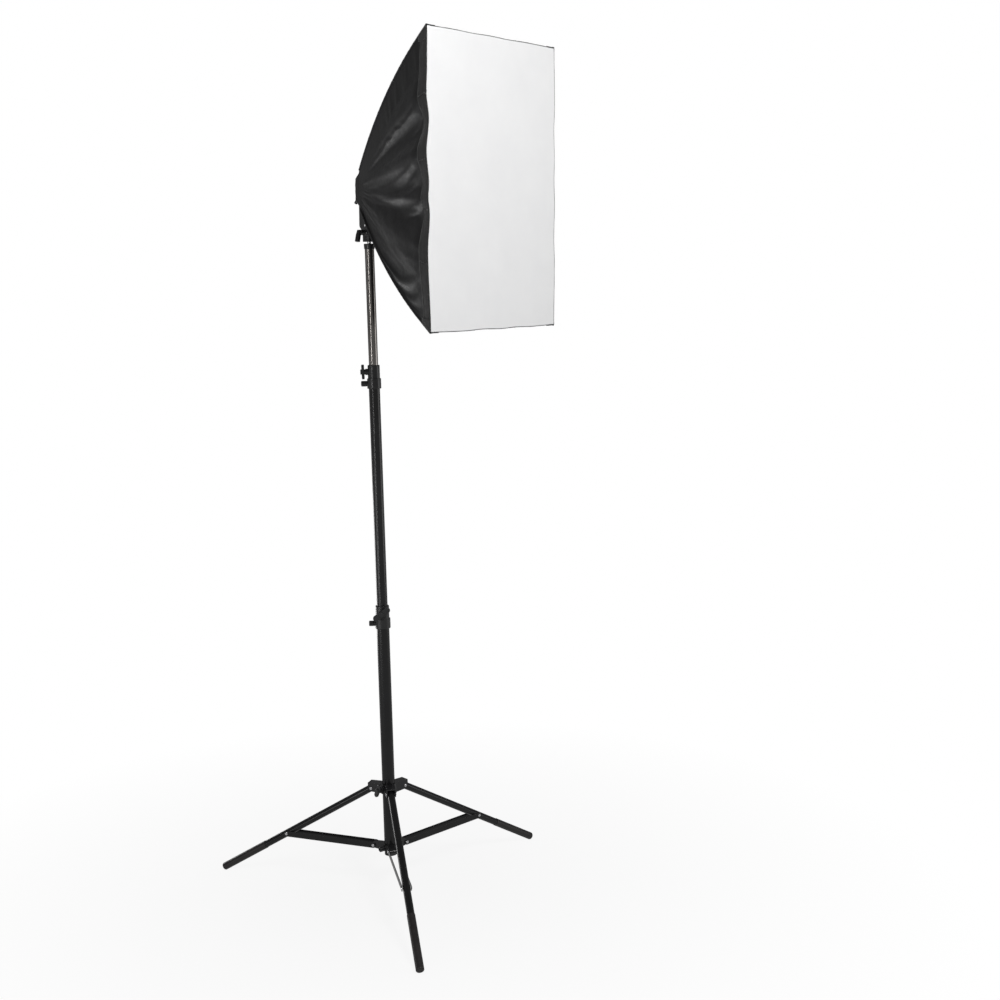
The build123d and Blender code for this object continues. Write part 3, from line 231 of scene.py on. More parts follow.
def woven(name, dark, light, rough, pitch, depth, sheen):
    """Plain weave from the piece's own UVs, which are in metres along and across the cloth."""
    n = Nodes(name)
    threads = []
    for direction in ("X", "Y"):
        wave = n.add("ShaderNodeTexWave", wave_type="BANDS", bands_direction=direction)
        wave.inputs["Scale"].default_value = 1.0
        wave.inputs["Distortion"].default_value = 0.6
        wave.inputs["Detail"].default_value = 1.0
        n.link(n.place((WAVE_PERIOD / pitch,) * 3, "UV"), wave.inputs["Vector"])
        threads.append(wave.outputs["Fac"])
    weave = n.math("MULTIPLY", threads[0], threads[1])
    cloud = n.spread(n.noise(9, 5, 0.6, source="UV"), 0, 1)
    shade = n.math("MULTIPLY_ADD", weave, 0.35, n.math("MULTIPLY", cloud, 0.65))
    n.colour(n.mix(shade, dark, light))
    n.set(roughness=n.spread(n.noise(70, 4, source="UV"), rough * 0.88, rough * 1.14))
    n.set(sheen=sheen, sheen_roughness=0.35)
    crush = n.bump(n.noise(55, 6, 0.62, source="UV"), 0.0009, 0.35)
    n.normal(n.bump(weave, depth, 0.5, crush))
    return n.material


def ceramic(name):
    """Glazed ceramic, off-white."""
    n = Nodes(name)
    n.colour(n.mix(n.spread(n.noise(60, 4), 0, 1), (0.80, 0.79, 0.75), (0.88, 0.87, 0.84)))
    n.set(roughness=n.spread(n.noise(90, 3), 0.10, 0.24), coat=0.6, coat_roughness=0.06)
    n.normal(n.bump(n.noise(260, 3), 0.0001, 0.3, n.round_edges(0.0008)))
    return n.material


def lamp_glass(name):
    """Phosphor-coated tube: white under clear glass, a touch cooler in random patches."""
    n = Nodes(name)
    n.colour(n.mix(n.spread(n.noise(40, 3), 0, 1), (0.88, 0.89, 0.88), (0.95, 0.95, 0.93)))
    n.set(roughness=n.spread(n.noise(120, 3), 0.05, 0.14), coat=1.0, coat_roughness=0.03, subsurface=0.1)
    n.normal(n.bump(n.noise(90, 2), 0.0001, 0.2))
    return n.material


def floor_material():
    """Pale paper that fades into the white of the room away from the stand."""
    n = Nodes("studio_floor")
    n.colour(n.mix(n.spread(n.noise(60, 3), 0, 1), (0.91, 0.91, 0.91), (0.93, 0.93, 0.93)))
    n.set(roughness=n.spread(n.noise(9, 4), 0.75, 0.85), specular=0.1)
    far = n.add("ShaderNodeEmission")
    seen = n.add("ShaderNodeLightPath").outputs["Is Camera Ray"]
    n.link(n.mix(seen, (0.35, 0.35, 0.35), (1.0, 1.0, 1.0)), far.inputs["Color"])
    distance = n.add("ShaderNodeVectorMath", operation="LENGTH")
    n.link(n.place(), distance.inputs[0])
    share = n.spread(distance.outputs["Value"], 0.88, 1.0, 0.2, 1.6)
    blend = n.add("ShaderNodeMixShader")
    n.link(share, blend.inputs[0])
    n.link(n.shader.outputs[0], blend.inputs[1])
    n.link(far.outputs[0], blend.inputs[2])
    n.link(blend.outputs[0], n.tree.nodes["Material Output"].inputs["Surface"])
    return n.material


BLACK = (0.010, 0.010, 0.011)
SOOT = (0.022, 0.022, 0.023)
FINE_WEAVE = (0.0006, 0.00008)  # a cloth's thread pitch and the threads' height, in metres
MATERIALS = {
    "black_tube": painted_metal(
        "black_tube", (0.006, 0.006, 0.0065), (0.012, 0.012, 0.0125), rough=0.20, wear=0.25),
    "dark_chrome_tube": polished_metal(
        "dark_chrome_tube", (0.26, 0.245, 0.235), (0.34, 0.32, 0.30), rough=0.13),
    "bright_metal": polished_metal(
        "bright_metal", (0.62, 0.62, 0.63), (0.82, 0.82, 0.83), rough=0.12),
    "rivet_steel": polished_metal(
        "rivet_steel", (0.66, 0.66, 0.67), (0.86, 0.86, 0.87), rough=0.20),
    "black_plastic": moulded_plastic("black_plastic", BLACK, SOOT, rough=0.30, coat=0.25),
    "foot_plastic": moulded_plastic(
        "foot_plastic", (0.016, 0.014, 0.014), (0.030, 0.027, 0.026), rough=0.36, grain=700),
    "bush_plastic": moulded_plastic(
        "bush_plastic", (0.46, 0.46, 0.43), (0.58, 0.58, 0.55), rough=0.45),
    "ceramic": ceramic("ceramic"),
    "brass": polished_metal("brass", (0.62, 0.46, 0.20), (0.78, 0.62, 0.32), rough=0.22),
    "lamp_plastic": moulded_plastic(
        "lamp_plastic", (0.80, 0.80, 0.78), (0.88, 0.88, 0.86), rough=0.38, wear=0.05),
    "lamp_glass": lamp_glass("lamp_glass"),
    "spring_steel": polished_metal(
        "spring_steel", (0.22, 0.22, 0.23), (0.34, 0.34, 0.35), rough=0.28),
    "black_nylon": woven(
        "black_nylon", (0.006, 0.006, 0.0065), (0.014, 0.014, 0.015), 0.46, *FINE_WEAVE, sheen=0.04),
    "silver_lining": woven(
        "silver_lining", (0.50, 0.50, 0.51), (0.68, 0.68, 0.69), 0.32, *FINE_WEAVE, sheen=0.0),
    "black_webbing": woven(
        "black_webbing", (0.012,) * 3, (0.026,) * 3, 0.60, pitch=0.0014, depth=0.00025, sheen=0.35),
    "white_diffuser": woven(
        "white_diffuser", (0.88, 0.88, 0.885), (0.93,) * 3, 0.62, pitch=0.0007, depth=0.00006, sheen=0.1),
    # The welts' cord is a lighter tone than the other black cloth: painted sheen standing in for the thin line of
    # light along the seams.
    "welt_with_painted_sheen": woven(
        "welt_with_painted_sheen", (0.016, 0.016, 0.017), (0.040, 0.040, 0.042), 0.34, pitch=0.0010, depth=0.00010, sheen=0.10),
    "thread": woven(
        "thread", (0.018,) * 3, (0.040,) * 3, 0.55, pitch=0.0008, depth=0.0001, sheen=0.3),
}

slot_of_node = {part["node"]: part["material_slot"] for part in frame["record"]["subparts"]}
for node_name, node in frame["nodes"].items():
    node.data.materials.clear()
    node.data.materials.append(MATERIALS[slot_of_node[node_name]])


# ---- mesh helpers -------------------------------------------------------------------------------
def new_object(name, mesh):
    piece = bpy.data.objects.new(name, mesh)
    bpy.context.scene.collection.objects.link(piece)
    return piece


def grid_piece(name, columns, rows, place, uv, closed=False, keep=None):
    """A sheet of quads: place(i, j) gives each point and uv(i, j) its cloth coordinates, in metres.

    A closed sheet joins its last column to its first. keep(i, j) says which quads are made.
    """
    mesh = bpy.data.meshes.new(name)
    points = [place(i, j) for j in range(rows) for i in range(columns)]
    faces = []
    cells = []
    for j in range(rows - 1):
        for i in range(columns if closed else columns - 1):
            if keep is not None and not keep(i, j):
                continue
            here, right = j * columns + i, j * columns + (i + 1) % columns
            faces.append((here, right, right + columns, here + columns))
            cells.append(i)
    mesh.from_pydata(points, [], faces)
    layer = mesh.uv_layers.new(name="cloth")
    for face, cell in zip(mesh.polygons, cells):
        for loop, vertex in zip(face.loop_indices, face.vertices):
            i, j = vertex % columns, vertex // columns
            layer.data[loop].uv = uv(columns if i < cell else i, j)
    mesh.shade_smooth()
    return new_object(name, mesh)


def apply_modifiers(piece):
    """Makes the mesh that the piece's modifiers give its own."""
    graph = bpy.context.evaluated_depsgraph_get()
    done = bpy.data.meshes.new_from_object(piece.evaluated_get(graph))
    piece.modifiers.clear()
    piece.data = done


def thicken(piece, thickness, offset, inner_material=None):
    """Gives a sheet its thickness: inwards at an offset of -1, to both sides at 0."""
    solid = piece.modifiers.new("thickness", "SOLIDIFY")
    solid.thickness = thickness
    solid.offset = offset
    solid.use_even_offset = False
    if inner_material is not None:
        piece.data.materials.append(inner_material)
        solid.material_offset = 1
    apply_modifiers(piece)


def ease(value, low, high):
    """0 below low, 1 above high, smooth between."""
    share = max(0.0, min(1.0, (value - low) / (high - low)))
    return share * share * (3 - 2 * share)


# ---- the softbox's wall form --------------------------------------------------------------------
def half_size(front_half, depth):
    """A wall's distance from the axis at a depth of 0 (sleeve) to 1 (front edge)."""
    return SLEEVE_HALF + (front_half - SLEEVE_HALF) * (depth + 4 * BOW * depth * (1 - depth))


def depth_y(depth):
    return REAR_Y + (FRONT_Y - REAR_Y) * depth


# Each wall: its outward and sideways directions and half sizes at the front, which way round its
# columns run, its fold lines as (place across, height), the hem's joins, and the share of the
# folds' height that is left at the front edge. A place runs from -1 to 1 across the wall; a
# height is in metres, out of the wall.
WALLS = {
    "left": {
        "out": Vector((-1, 0, 0)),
        "side": Vector((0, 0, 1)),
        "out_half": HALF_WIDTH,
        "side_half": HALF_HEIGHT,
        "turn": -1,
        "folds": [(-1, 0), (-0.47, 0.019), (-0.21, -0.003), (-0.11, 0.009), (-0.01, 0.001),
                  (0.19, 0.021), (0.41, -0.006), (0.57, 0.015), (0.80, 0.004), (1, 0)],
        "seams": (-0.545, -0.188, 0.143, 0.571),
        "hem_share": 0.36,
    },
    "right": {
        "out": Vector((1, 0, 0)),
        "side": Vector((0, 0, 1)),
        "out_half": HALF_WIDTH,
        "side_half": HALF_HEIGHT,
        "turn": 1,
        "folds": [(-1, 0), (-0.55, 0.014), (-0.36, 0.001), (-0.12, 0.016), (0.06, 0.003),
                  (0.22, 0.012), (0.41, 0.000), (0.60, 0.015), (1, 0)],
        "seams": (-0.56, -0.15, 0.20, 0.55),
        "hem_share": 0.20,
    },
    "bottom": {
        "out": Vector((0, 0, -1)),
        "side": Vector((1, 0, 0)),
        "out_half": HALF_HEIGHT,
        "side_half": HALF_WIDTH,
        "turn": 1,
        "folds": [(-1, 0), (-0.48, 0.011), (-0.20, 0.001), (0.10, 0.013),
                  (0.34, 0.002), (0.58, 0.010), (1, 0)],
        "seams": (-0.33, 0.33),
        "hem_share": 0.16,
    },
    "top": {
        "out": Vector((0, 0, 1)),
        "side": Vector((1, 0, 0)),
        "out_half": HALF_HEIGHT,
        "side_half": HALF_WIDTH,
        "turn": -1,
        "folds": [(-1, 0), (-0.60, 0.010), (-0.33, 0.001), (-0.05, 0.012),
                  (0.21, 0.001), (0.52, 0.011), (1, 0)],
        "seams": (-0.30, 0.36),
        "hem_share": 0.10,
    },
}
HEM_START = 1 - HEM_DEPTH / (REAR_Y - FRONT_Y)  # the depth at which the hem's band begins


def fold_height(folds, across):
    """The folds' height across a wall: smooth between the fold lines."""
    for (start, low), (end, high) in zip(folds, folds[1:]):
        if across <= end:
            return low + (high - low) * ease(across, start, end)
    return 0.0


CREASE_HEIGHT = 0.0040
RIPPLE_HEIGHT = 0.0012
HOLLOW = 0.010  # how far a wall's middle falls in


def wall_height(wall, across, depth):
    """How far the cloth stands out of the taut wall, in metres."""
    middle = 1 - across * across
    loose = 1 - across ** 6
    off_sleeve = ease(depth, 0.0, 0.12)
    drift = (0.045 * sin(2.3 * depth + 4 * across) - 0.03) * middle * (1 - depth)
    growth = 0.20 + 0.80 * ease(depth, 0.10, 0.75)
    hem_hold = 1 - (1 - wall["hem_share"]) * ease(depth, 0.86, 1.0)
    radial = fold_height(wall["folds"], across + drift) * (growth * hem_hold * off_sleeve)
    seed = wall["out"] * 3.7 + wall["side"] * 1.9
    where = Vector((across * 5.0, depth * 4.0, 0)) + seed
    crease = noise.noise(where * 1.3) * 0.5 + noise.noise(where * 3.1) * 0.22
    crease_share = loose * off_sleeve * (1 - ease(depth, 0.88, 0.95))
    ripple = noise.noise(Vector((across * 22.0, depth * 3.0, 1.0)) + seed) * loose
    ripple_share = ease(depth, 0.45, 0.85) * (1 - ease(depth, 0.90, 0.97))
    hollow = HOLLOW * middle * depth * (1 - depth) * 4
    return radial + CREASE_HEIGHT * crease * crease_share + RIPPLE_HEIGHT * ripple * ripple_share - hollow


def wall_point(wall, across, depth):
    """A point of a wall's cloth, in the level head's frame."""
    out = half_size(wall["out_half"], depth)
    side = half_size(wall["side_half"], depth) * across
    centre = Vector((0, depth_y(depth), LEVEL_AXIS_Z))
    slope = (wall["out_half"] - SLEEVE_HALF) / (REAR_Y - FRONT_Y) * (1 - ease(depth, 0.9, 1.0))
    outward = (wall["out"] + Vector((0, slope, 0))).normalized()
    return centre + wall["out"] * out + wall["side"] * side + outward * wall_height(wall, across, depth)


# ---- walls: sewn taut along the rods, the hem and the sleeve, then let sag by cloth simulation ----
WALL_COLUMNS = 141
WALL_ROWS = 97
WALL_RUN = 0.47  # about a wall's length from sleeve to hem, for its weave
SAG_FRAMES = 10
SAG_LIMIT = 0.003  # no point of a wall may sag further than this
NYLON_SETTINGS = {
    "quality": 6,
    "mass": 0.12,
    "tension_stiffness": 18,
    "compression_stiffness": 18,
    "shear_stiffness": 6,
    "bending_stiffness": 4.0,
    "air_damping": 2.0,
    "shrink_min": -0.0015,  # cut a touch too large
}


def let_sag(piece, columns, rows):
    """Drops the cloth between its sewn edges, and keeps what the simulation gives."""
    before = [vertex.co.copy() for vertex in piece.data.vertices]
    held = piece.vertex_groups.new(name="held")
    for index in range(columns * rows):
        i, j = index % columns, index // columns
        if i in (0, 1, columns - 2, columns - 1) or j < 2 or j / (rows - 1) > HEM_START:
            held.add([index], 1.0, "REPLACE")
    cloth = piece.modifiers.new("cloth", "CLOTH")
    for key, value in NYLON_SETTINGS.items():
        setattr(cloth.settings, key, value)
    cloth.settings.vertex_group_mass = "held"
    cloth.point_cache.frame_start = 1
    cloth.point_cache.frame_end = SAG_FRAMES
    for frame_number in range(1, SAG_FRAMES + 1):
        scene.frame_set(frame_number)
    graph = bpy.context.evaluated_depsgraph_get()
    after = [vertex.co.copy() for vertex in piece.evaluated_get(graph).data.vertices]
    piece.modifiers.remove(cloth)
    scene.frame_set(1)
    for vertex, old, new in zip(piece.data.vertices, before, after):
        move = new - old
        if move.length > SAG_LIMIT:
            move *= SAG_LIMIT / move.length
        vertex.co = old + move
    piece.vertex_groups.clear()
    piece.data.update()


def wall_flat(wall):
    """The flat cut of a wall, a trapezoid with bowed sides: width, length and area, in metres."""
    steps = 40
    depths = [k / steps for k in range(steps + 1)]
    run = 0.0
    area = 0.0
    for near, far in zip(depths, depths[1:]):
        rise = half_size(wall["out_half"], far) - half_size(wall["out_half"], near)
        length = (rise * rise + (depth_y(far) - depth_y(near)) ** 2) ** 0.5
        run += length
        area += length * (half_size(wall["side_half"], far) + half_size(wall["side_half"], near))
    return 2 * wall["side_half"], run, area


def make_wall(name, wall):
    def place(i, j):
        across = wall["turn"] * (2 * i / (WALL_COLUMNS - 1) - 1)
        return TILT @ wall_point(wall, across, j / (WALL_ROWS - 1))

    def uv(i, j):
        depth = j / (WALL_ROWS - 1)
        across = 2 * i / (WALL_COLUMNS - 1) - 1
        return (half_size(wall["side_half"], depth) * across, depth * WALL_RUN)

    piece = grid_piece(f"wall_{name}", WALL_COLUMNS, WALL_ROWS, place, uv)
    let_sag(piece, WALL_COLUMNS, WALL_ROWS)
    piece.data.materials.append(MATERIALS["black_nylon"])
    thicken(piece, NYLON, -1, MATERIALS["silver_lining"])
    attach(piece, "head")
    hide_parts(f"panel_{name}")
    width, length, area = wall_flat(wall)


for name, wall in WALLS.items():
    make_wall(name, wall)

# ---- the front: hem band, its seams and stitches, and the white diffuser ---------------------------
AROUND = (("bottom", 1), ("right", 1), ("top", -1), ("left", -1))  # once around, seen from the front
SIDE_COLUMNS = 90  # of the hem band, on each side
HEM_RUN = 0.42  # about the head's depth, for the weave of the hem band


def around_point(i, depth, lift):
    """A point of the hem band's column i, lifted off the walls and drawn out at the corners."""
    name, way = AROUND[i // SIDE_COLUMNS % 4]
    across = way * (2 * (i % SIDE_COLUMNS) / SIDE_COLUMNS - 1)
    wall = WALLS[name]
    point = wall_point(wall, across, depth)
    corner = 1 - ease(1 - abs(across), 0.0, 0.02)
    return point + wall["out"] * lift + wall["side"] * (lift * corner * (1 if across > 0 else -1))


def around_length(i):
    """How far column i of the hem band is around the front, in metres."""
    run = 0.0
    for k in range(i // SIDE_COLUMNS):
        run += 2 * WALLS[AROUND[k % 4][0]]["side_half"]
    return run + 2 * WALLS[AROUND[i // SIDE_COLUMNS % 4][0]]["side_half"] * (i % SIDE_COLUMNS) / SIDE_COLUMNS


# The hem band's section from its rear edge to the inside of the front: (depth, lift off the wall).
HEM_ROWS = ((HEM_START, 0.0009), (HEM_START + 0.004, 0.0019), (HEM_START + 0.020, 0.0016), (0.955, 0.0021),
            (0.972, 0.0020), (0.986, 0.0015), (0.996, 0.0017), (1.0, 0.0006), (0.9985, -0.0006))


def hem_place(i, j):
    depth, lift = HEM_ROWS[j]
    wave = 0.0005 * noise.noise(Vector((around_length(i) * 30, j * 0.8, 0)))
    return TILT @ around_point(i, depth, lift + wave)


hem = grid_piece(
    "front_hem_band", 4 * SIDE_COLUMNS, len(HEM_ROWS), hem_place,
    lambda i, j: (around_length(i), HEM_ROWS[j][0] * HEM_RUN), closed=True,
)
hem.data.materials.append(MATERIALS["black_webbing"])
thicken(hem, 0.0008, -1)
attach(hem, "head")
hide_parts("front_hem")


# A bar's rings as (place along, share of its width), and a ring's points as (across, up).
BAR_RINGS = ((-0.5, 0.45), (-0.3, 1.0), (0.3, 1.0), (0.5, 0.45))
BAR_SECTION = ((-0.5, 0.0), (-0.32, 0.8), (0.0, 1.0), (0.32, 0.8), (0.5, 0.0), (0.0, -0.6))


def boxes_piece(name, places, material):
    """Many small rounded bars in one piece: (centre, along, outward, length, width, height) each."""
    sides = len(BAR_SECTION)
    last_ring = sides * (len(BAR_RINGS) - 1)
    points, faces = [], []
    for centre, along, outward, length, width, height in places:
        aside = along.cross(outward).normalized()
        outward = aside.cross(along).normalized()
        first = len(points)
        for end, share in BAR_RINGS:
            middle = centre + along * (end * length)
            for across, up in BAR_SECTION:
                points.append(middle + aside * (across * width * share) + outward * (up * height * share))
        for ring in range(first, first + last_ring, sides):
            for k in range(sides):
                here, there = ring + k, ring + (k + 1) % sides
                faces.append((here, there, there + sides, here + sides))
        faces.append(tuple(first + k for k in reversed(range(sides))))
        faces.append(tuple(first + last_ring + k for k in range(sides)))
    mesh = bpy.data.meshes.new(name)
    mesh.from_pydata(points, [], faces)
    mesh.shade_smooth()
    layer = mesh.uv_layers.new(name="cloth")
    for loop in mesh.loops:
        where = mesh.vertices[loop.vertex_index].co
        layer.data[loop.index].uv = (where.x + where.y, where.z)
    piece = new_object(name, mesh)
    piece.data.materials.append(material)
    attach(piece, "head")


STITCH_PITCH = 0.0042
STITCH_WIDTH = 0.0007
STITCH_HEIGHT = 0.00045


def stitches(depth, lift):
    """A row of stitches around the softbox at a depth."""
    places = []
    for name, way in AROUND:
        wall = WALLS[name]
        count = int(2 * wall["side_half"] / STITCH_PITCH)
        for k in range(count):
            across = way * (2 * (k + 0.5) / count - 1)
            before = TILT @ (wall_point(wall, across - 0.004, depth) + wall["out"] * lift)
            after = TILT @ (wall_point(wall, across + 0.004, depth) + wall["out"] * lift)
            places.append(((before + after) / 2, (after - before).normalized(), TILT.to_3x3() @ wall["out"],
                           STITCH_PITCH * 0.72, STITCH_WIDTH, STITCH_HEIGHT))
    return places


boxes_piece(
    "hem_stitching", stitches(HEM_START + 0.010, 0.0019) + stitches(0.9915, 0.0018), MATERIALS["thread"]
)

JOIN_LIFT = 0.0020
JOIN_BARS = 10
JOIN_BAR = (0.0036, 0.0042, 0.0009)  # length, width and height


def joins():
    """Where the hem band's lengths are sewn together: a column of bars at each seam."""
    places = []
    for wall in WALLS.values():
        lift = wall["out"] * JOIN_LIFT
        outward = TILT.to_3x3() @ wall["out"]
        for across in wall["seams"]:
            for k in range(JOIN_BARS):
                depth = HEM_START + 0.004 + (0.992 - HEM_START) * (k + 0.5) / JOIN_BARS
                here = TILT @ (wall_point(wall, across, depth) + lift)
                there = TILT @ (wall_point(wall, across, depth + 0.004) + lift)
                places.append((here, (there - here).normalized(), outward, *JOIN_BAR))
    return places


boxes_piece("hem_joins", joins(), MATERIALS["black_webbing"])

DIFFUSER_COLUMNS = 151
DIFFUSER_ROWS = 201
BORDER = 0.0085  # from the diffuser's edge to its seam


def rim(name, across):
    """A point of the front edge, a little behind its plane."""
    wall = WALLS[name]
    point = wall_point(wall, across, 1.0)
    return Vector((point.x, FRONT_Y + 0.0006, point.z))


def diffuser_place(i, j):
    """The diffuser spans its four edges, with its seam, puckers beside it and a slight drape."""
    u, v = 2 * i / (DIFFUSER_COLUMNS - 1) - 1, 2 * j / (DIFFUSER_ROWS - 1) - 1
    left, right, low, high = rim("left", v), rim("right", v), rim("bottom", u), rim("top", u)
    s, t = (u + 1) / 2, (v + 1) / 2
    corners = (
        rim("left", -1) * ((1 - s) * (1 - t)) + rim("right", -1) * (s * (1 - t))
        + rim("left", 1) * ((1 - s) * t) + rim("right", 1) * (s * t)
    )
    point = left * (1 - s) + right * s + low * (1 - t) + high * t - corners
    from_side, from_end = (1 - abs(u)) * HALF_WIDTH, (1 - abs(v)) * HALF_HEIGHT
    edge = min(from_side, from_end)
    along = point.z if from_side < from_end else point.x
    dish = 0.0045 * (1 - u * u) * (1 - v * v)
    seam = 0.0007 * (1 - ease(abs(edge - BORDER), 0.0, 0.0035))
    pucker = 0.0006 * noise.noise(Vector((along * 55, edge * 12, 2)))
    pucker *= (1 - ease(edge, 0.02, 0.09)) * ease(edge, 0, 0.006)
    drape = 0.0010 * noise.noise(Vector((point.x * 6, point.z * 5, 5))) * ease(edge, 0.01, 0.08)
    return TILT @ (point + Vector((0, dish + seam + pucker + drape, 0)))


diffuser = grid_piece(
    "diffuser_cloth", DIFFUSER_COLUMNS, DIFFUSER_ROWS, diffuser_place,
    lambda i, j: (2 * HALF_WIDTH * i / (DIFFUSER_COLUMNS - 1), 2 * HALF_HEIGHT * j / (DIFFUSER_ROWS - 1)),
)
diffuser.data.materials.append(MATERIALS["white_diffuser"])
thicken(diffuser, 0.0005, -1)
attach(diffuser, "head")
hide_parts("front_diffuser")

# ---- corner welts: the walls' seams along the four rods, and a pocket for each rod's tip ------------
WELT_R = 0.0019
WELT_SIDES = 12
WELT_LIFT = 0.0002


def corner_line(x_sign, z_sign, depth):
    """The line in which two walls meet, in the level head's frame."""
    x, z = half_size(HALF_WIDTH, depth), half_size(HALF_HEIGHT, depth)
    return Vector((x_sign * x, depth_y(depth), LEVEL_AXIS_Z + z_sign * z))


def make_welt(number, x_sign, z_sign):
    """The sewn ridge along a rod."""
    rows = 90

    def place(i, j):
        depth = 0.012 + 0.985 * j / (rows - 1)
        outward = Vector((x_sign, 0, z_sign)).normalized()
        ahead = corner_line(x_sign, z_sign, depth + 0.004)
        along = (ahead - corner_line(x_sign, z_sign, depth - 0.004)).normalized()
        aside = along.cross(outward).normalized()
        outward = aside.cross(along)
        turn = 2 * pi * i / WELT_SIDES
        radius = WELT_R * (1 + 0.25 * noise.noise(Vector((depth * 60, number * 3.0, 0))))
        centre = corner_line(x_sign, z_sign, depth) + Vector((x_sign * WELT_LIFT, 0, z_sign * WELT_LIFT))
        return TILT @ (centre + outward * (cos(turn) * radius * 1.2) + aside * (sin(turn) * radius))

    welt_with_painted_sheen = grid_piece(
        f"corner_welt_{number}", WELT_SIDES, rows, place, lambda i, j: (j * 0.006, i * 0.001), closed=True
    )
    # The lighter tone of this cloth is painted sheen, for the line of light along the seam.
    welt_with_painted_sheen.data.materials.append(MATERIALS["welt_with_painted_sheen"])
    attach(welt_with_painted_sheen, "head")


def make_pocket(number, x_sign, z_sign):
    """The doubled cloth at a front corner that takes the rod's tip."""
    columns, rows = 25, 13

    def place(i, j):
        share = 2 * i / (columns - 1) - 1
        depth = 0.9975 - 0.085 * j / (rows - 1)
        reach = 0.030 * (1 - 0.55 * j / (rows - 1))
        name = ("left" if x_sign < 0 else "right") if share < 0 else ("bottom" if z_sign < 0 else "top")
        wall = WALLS[name]
        sign = z_sign if share < 0 else x_sign
        across = sign * (1 - abs(share) * reach / half_size(wall["side_half"], depth))
        near = 1 - ease(abs(share), 0.0, 0.35)
        other = Vector((x_sign, 0, 0)) if share >= 0 else Vector((0, 0, z_sign))
        lift = 0.0024 + 0.0008 * near * ease(depth, 0.93, 1.0)
        return TILT @ (wall_point(wall, across, depth) + wall["out"] * lift + other * (0.6 * lift * near))

    pocket = grid_piece(f"corner_pocket_{number}", columns, rows, place, lambda i, j: (i * 0.0025, j * 0.003))
    pocket.data.materials.append(MATERIALS["black_webbing"])
    if x_sign * z_sign > 0:
        pocket.data.flip_normals()
    thicken(pocket, 0.0012, 0)
    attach(pocket, "head")


CORNERS = ((1, -1, -1), (2, 1, -1), (3, 1, 1), (4, -1, 1))  # number, and which side in x and z
for corner in CORNERS:
    make_welt(*corner)
for corner in CORNERS:
    make_pocket(*corner)

# ---- rear sleeve: a gathered cuff around the lamp's housing, slotted for the arm --------------------
SLEEVE_SIDE = 30
SLEEVE_ROWS = 27
FLAP_ROWS = 9  # the last rows turn in towards the housing
BODY_ROWS = SLEEVE_ROWS - FLAP_ROWS
SLEEVE_GAP = 0.0006  # between the sleeve and what is inside it
SLEEVE_OVERLAP = 0.002  # how far the sleeve reaches over the walls


def square_point(half, i, round_share):
    """A point of a rounded square, once around from the middle of its lower side."""
    side, step = divmod(i + SLEEVE_SIDE // 2, SLEEVE_SIDE)
    run = (2 * step / SLEEVE_SIDE - 1) * half
    x, z = ((run, -half), (half, run), (-run, half), (-half, -run))[side % 4]
    reach = (x * x + z * z) ** 0.5
    limit = half * (2 ** 0.5) * (1 - round_share)
    if reach > limit:
        x, z = x * limit / reach, z * limit / reach
    return x, z


def sleeve_section(share):
    """The sleeve's place along Y and its half size, from 0 at the walls to 1 at its rear edge."""
    y = REAR_Y - SLEEVE_OVERLAP + (SLEEVE_REAR_Y - REAR_Y + SLEEVE_OVERLAP) * share
    return y, SLEEVE_HALF + (SLEEVE_REAR_HALF - SLEEVE_HALF) * share


def sleeve_place(i, j):
    """The sleeve's body tapers to the rear, and its flap turns in to the housing, both gathered."""
    pleat = sin(i * 2 * pi / 9) + 0.5 * sin(i * 2 * pi / 14 + 1)
    if j < BODY_ROWS:
        share = j / (BODY_ROWS - 1)
        y, half = sleeve_section(share)
        x, z = square_point(half + SLEEVE_GAP, i, 0.02 + 0.05 * share)
        lift = 1 + 0.010 * pleat * ease(share, 0.3, 1.0) * ease(1 - share, 0.0, 0.2)
        return TILT @ Vector((x * lift, y, LEVEL_AXIS_Z + z * lift))
    share = (j - BODY_ROWS + 1) / FLAP_ROWS
    x, z = square_point(SLEEVE_REAR_HALF + SLEEVE_GAP, i, 0.07)
    inner = (HOUSING_R + SLEEVE_GAP) / (x * x + z * z) ** 0.5
    scale = 1 + (inner - 1) * share
    bulge = 0.0018 * sin(pi * share) + 0.0007 * pleat * sin(pi * min(1.0, share * 1.2))
    return TILT @ Vector((x * scale, SLEEVE_REAR_Y + 0.0008 + bulge, LEVEL_AXIS_Z + z * scale))


def sleeve_keep(i, j):
    """Leaves out the slot that the arm passes through, under the housing."""
    quarter = i + SLEEVE_SIDE // 2
    if quarter >= 4 * SLEEVE_SIDE:
        quarter -= 4 * SLEEVE_SIDE
    if quarter >= SLEEVE_SIDE:
        return True
    y, half = sleeve_section(min(1.0, j / (BODY_ROWS - 1)))
    x = (2 * (quarter + 0.5) / SLEEVE_SIDE - 1) * half
    return not (abs(x) < SLOT_HALF and y > SLOT_FRONT_Y - 0.001)


sleeve = grid_piece(
    "rear_sleeve_cuff", 4 * SLEEVE_SIDE, SLEEVE_ROWS, sleeve_place,
    lambda i, j: (i * 0.0024, j * 0.0015), closed=True, keep=sleeve_keep,
)
sleeve.data.flip_normals()
sleeve.data.materials.append(MATERIALS["black_nylon"])
thicken(sleeve, 0.0009, 0)
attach(sleeve, "head")
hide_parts("rear_sleeve")


# ---- camera, lights and floor -------------------------------------------------------------------
CAMERA_PLACE = (-2.916, -2.682, 1.697)
CAMERA_YAW = radians(-52.17)
CAMERA_PITCH = radians(8.56)
CAMERA_ROLL = radians(-1.34)
CAMERA_LENS = 52.96  # on a sensor 36 mm wide


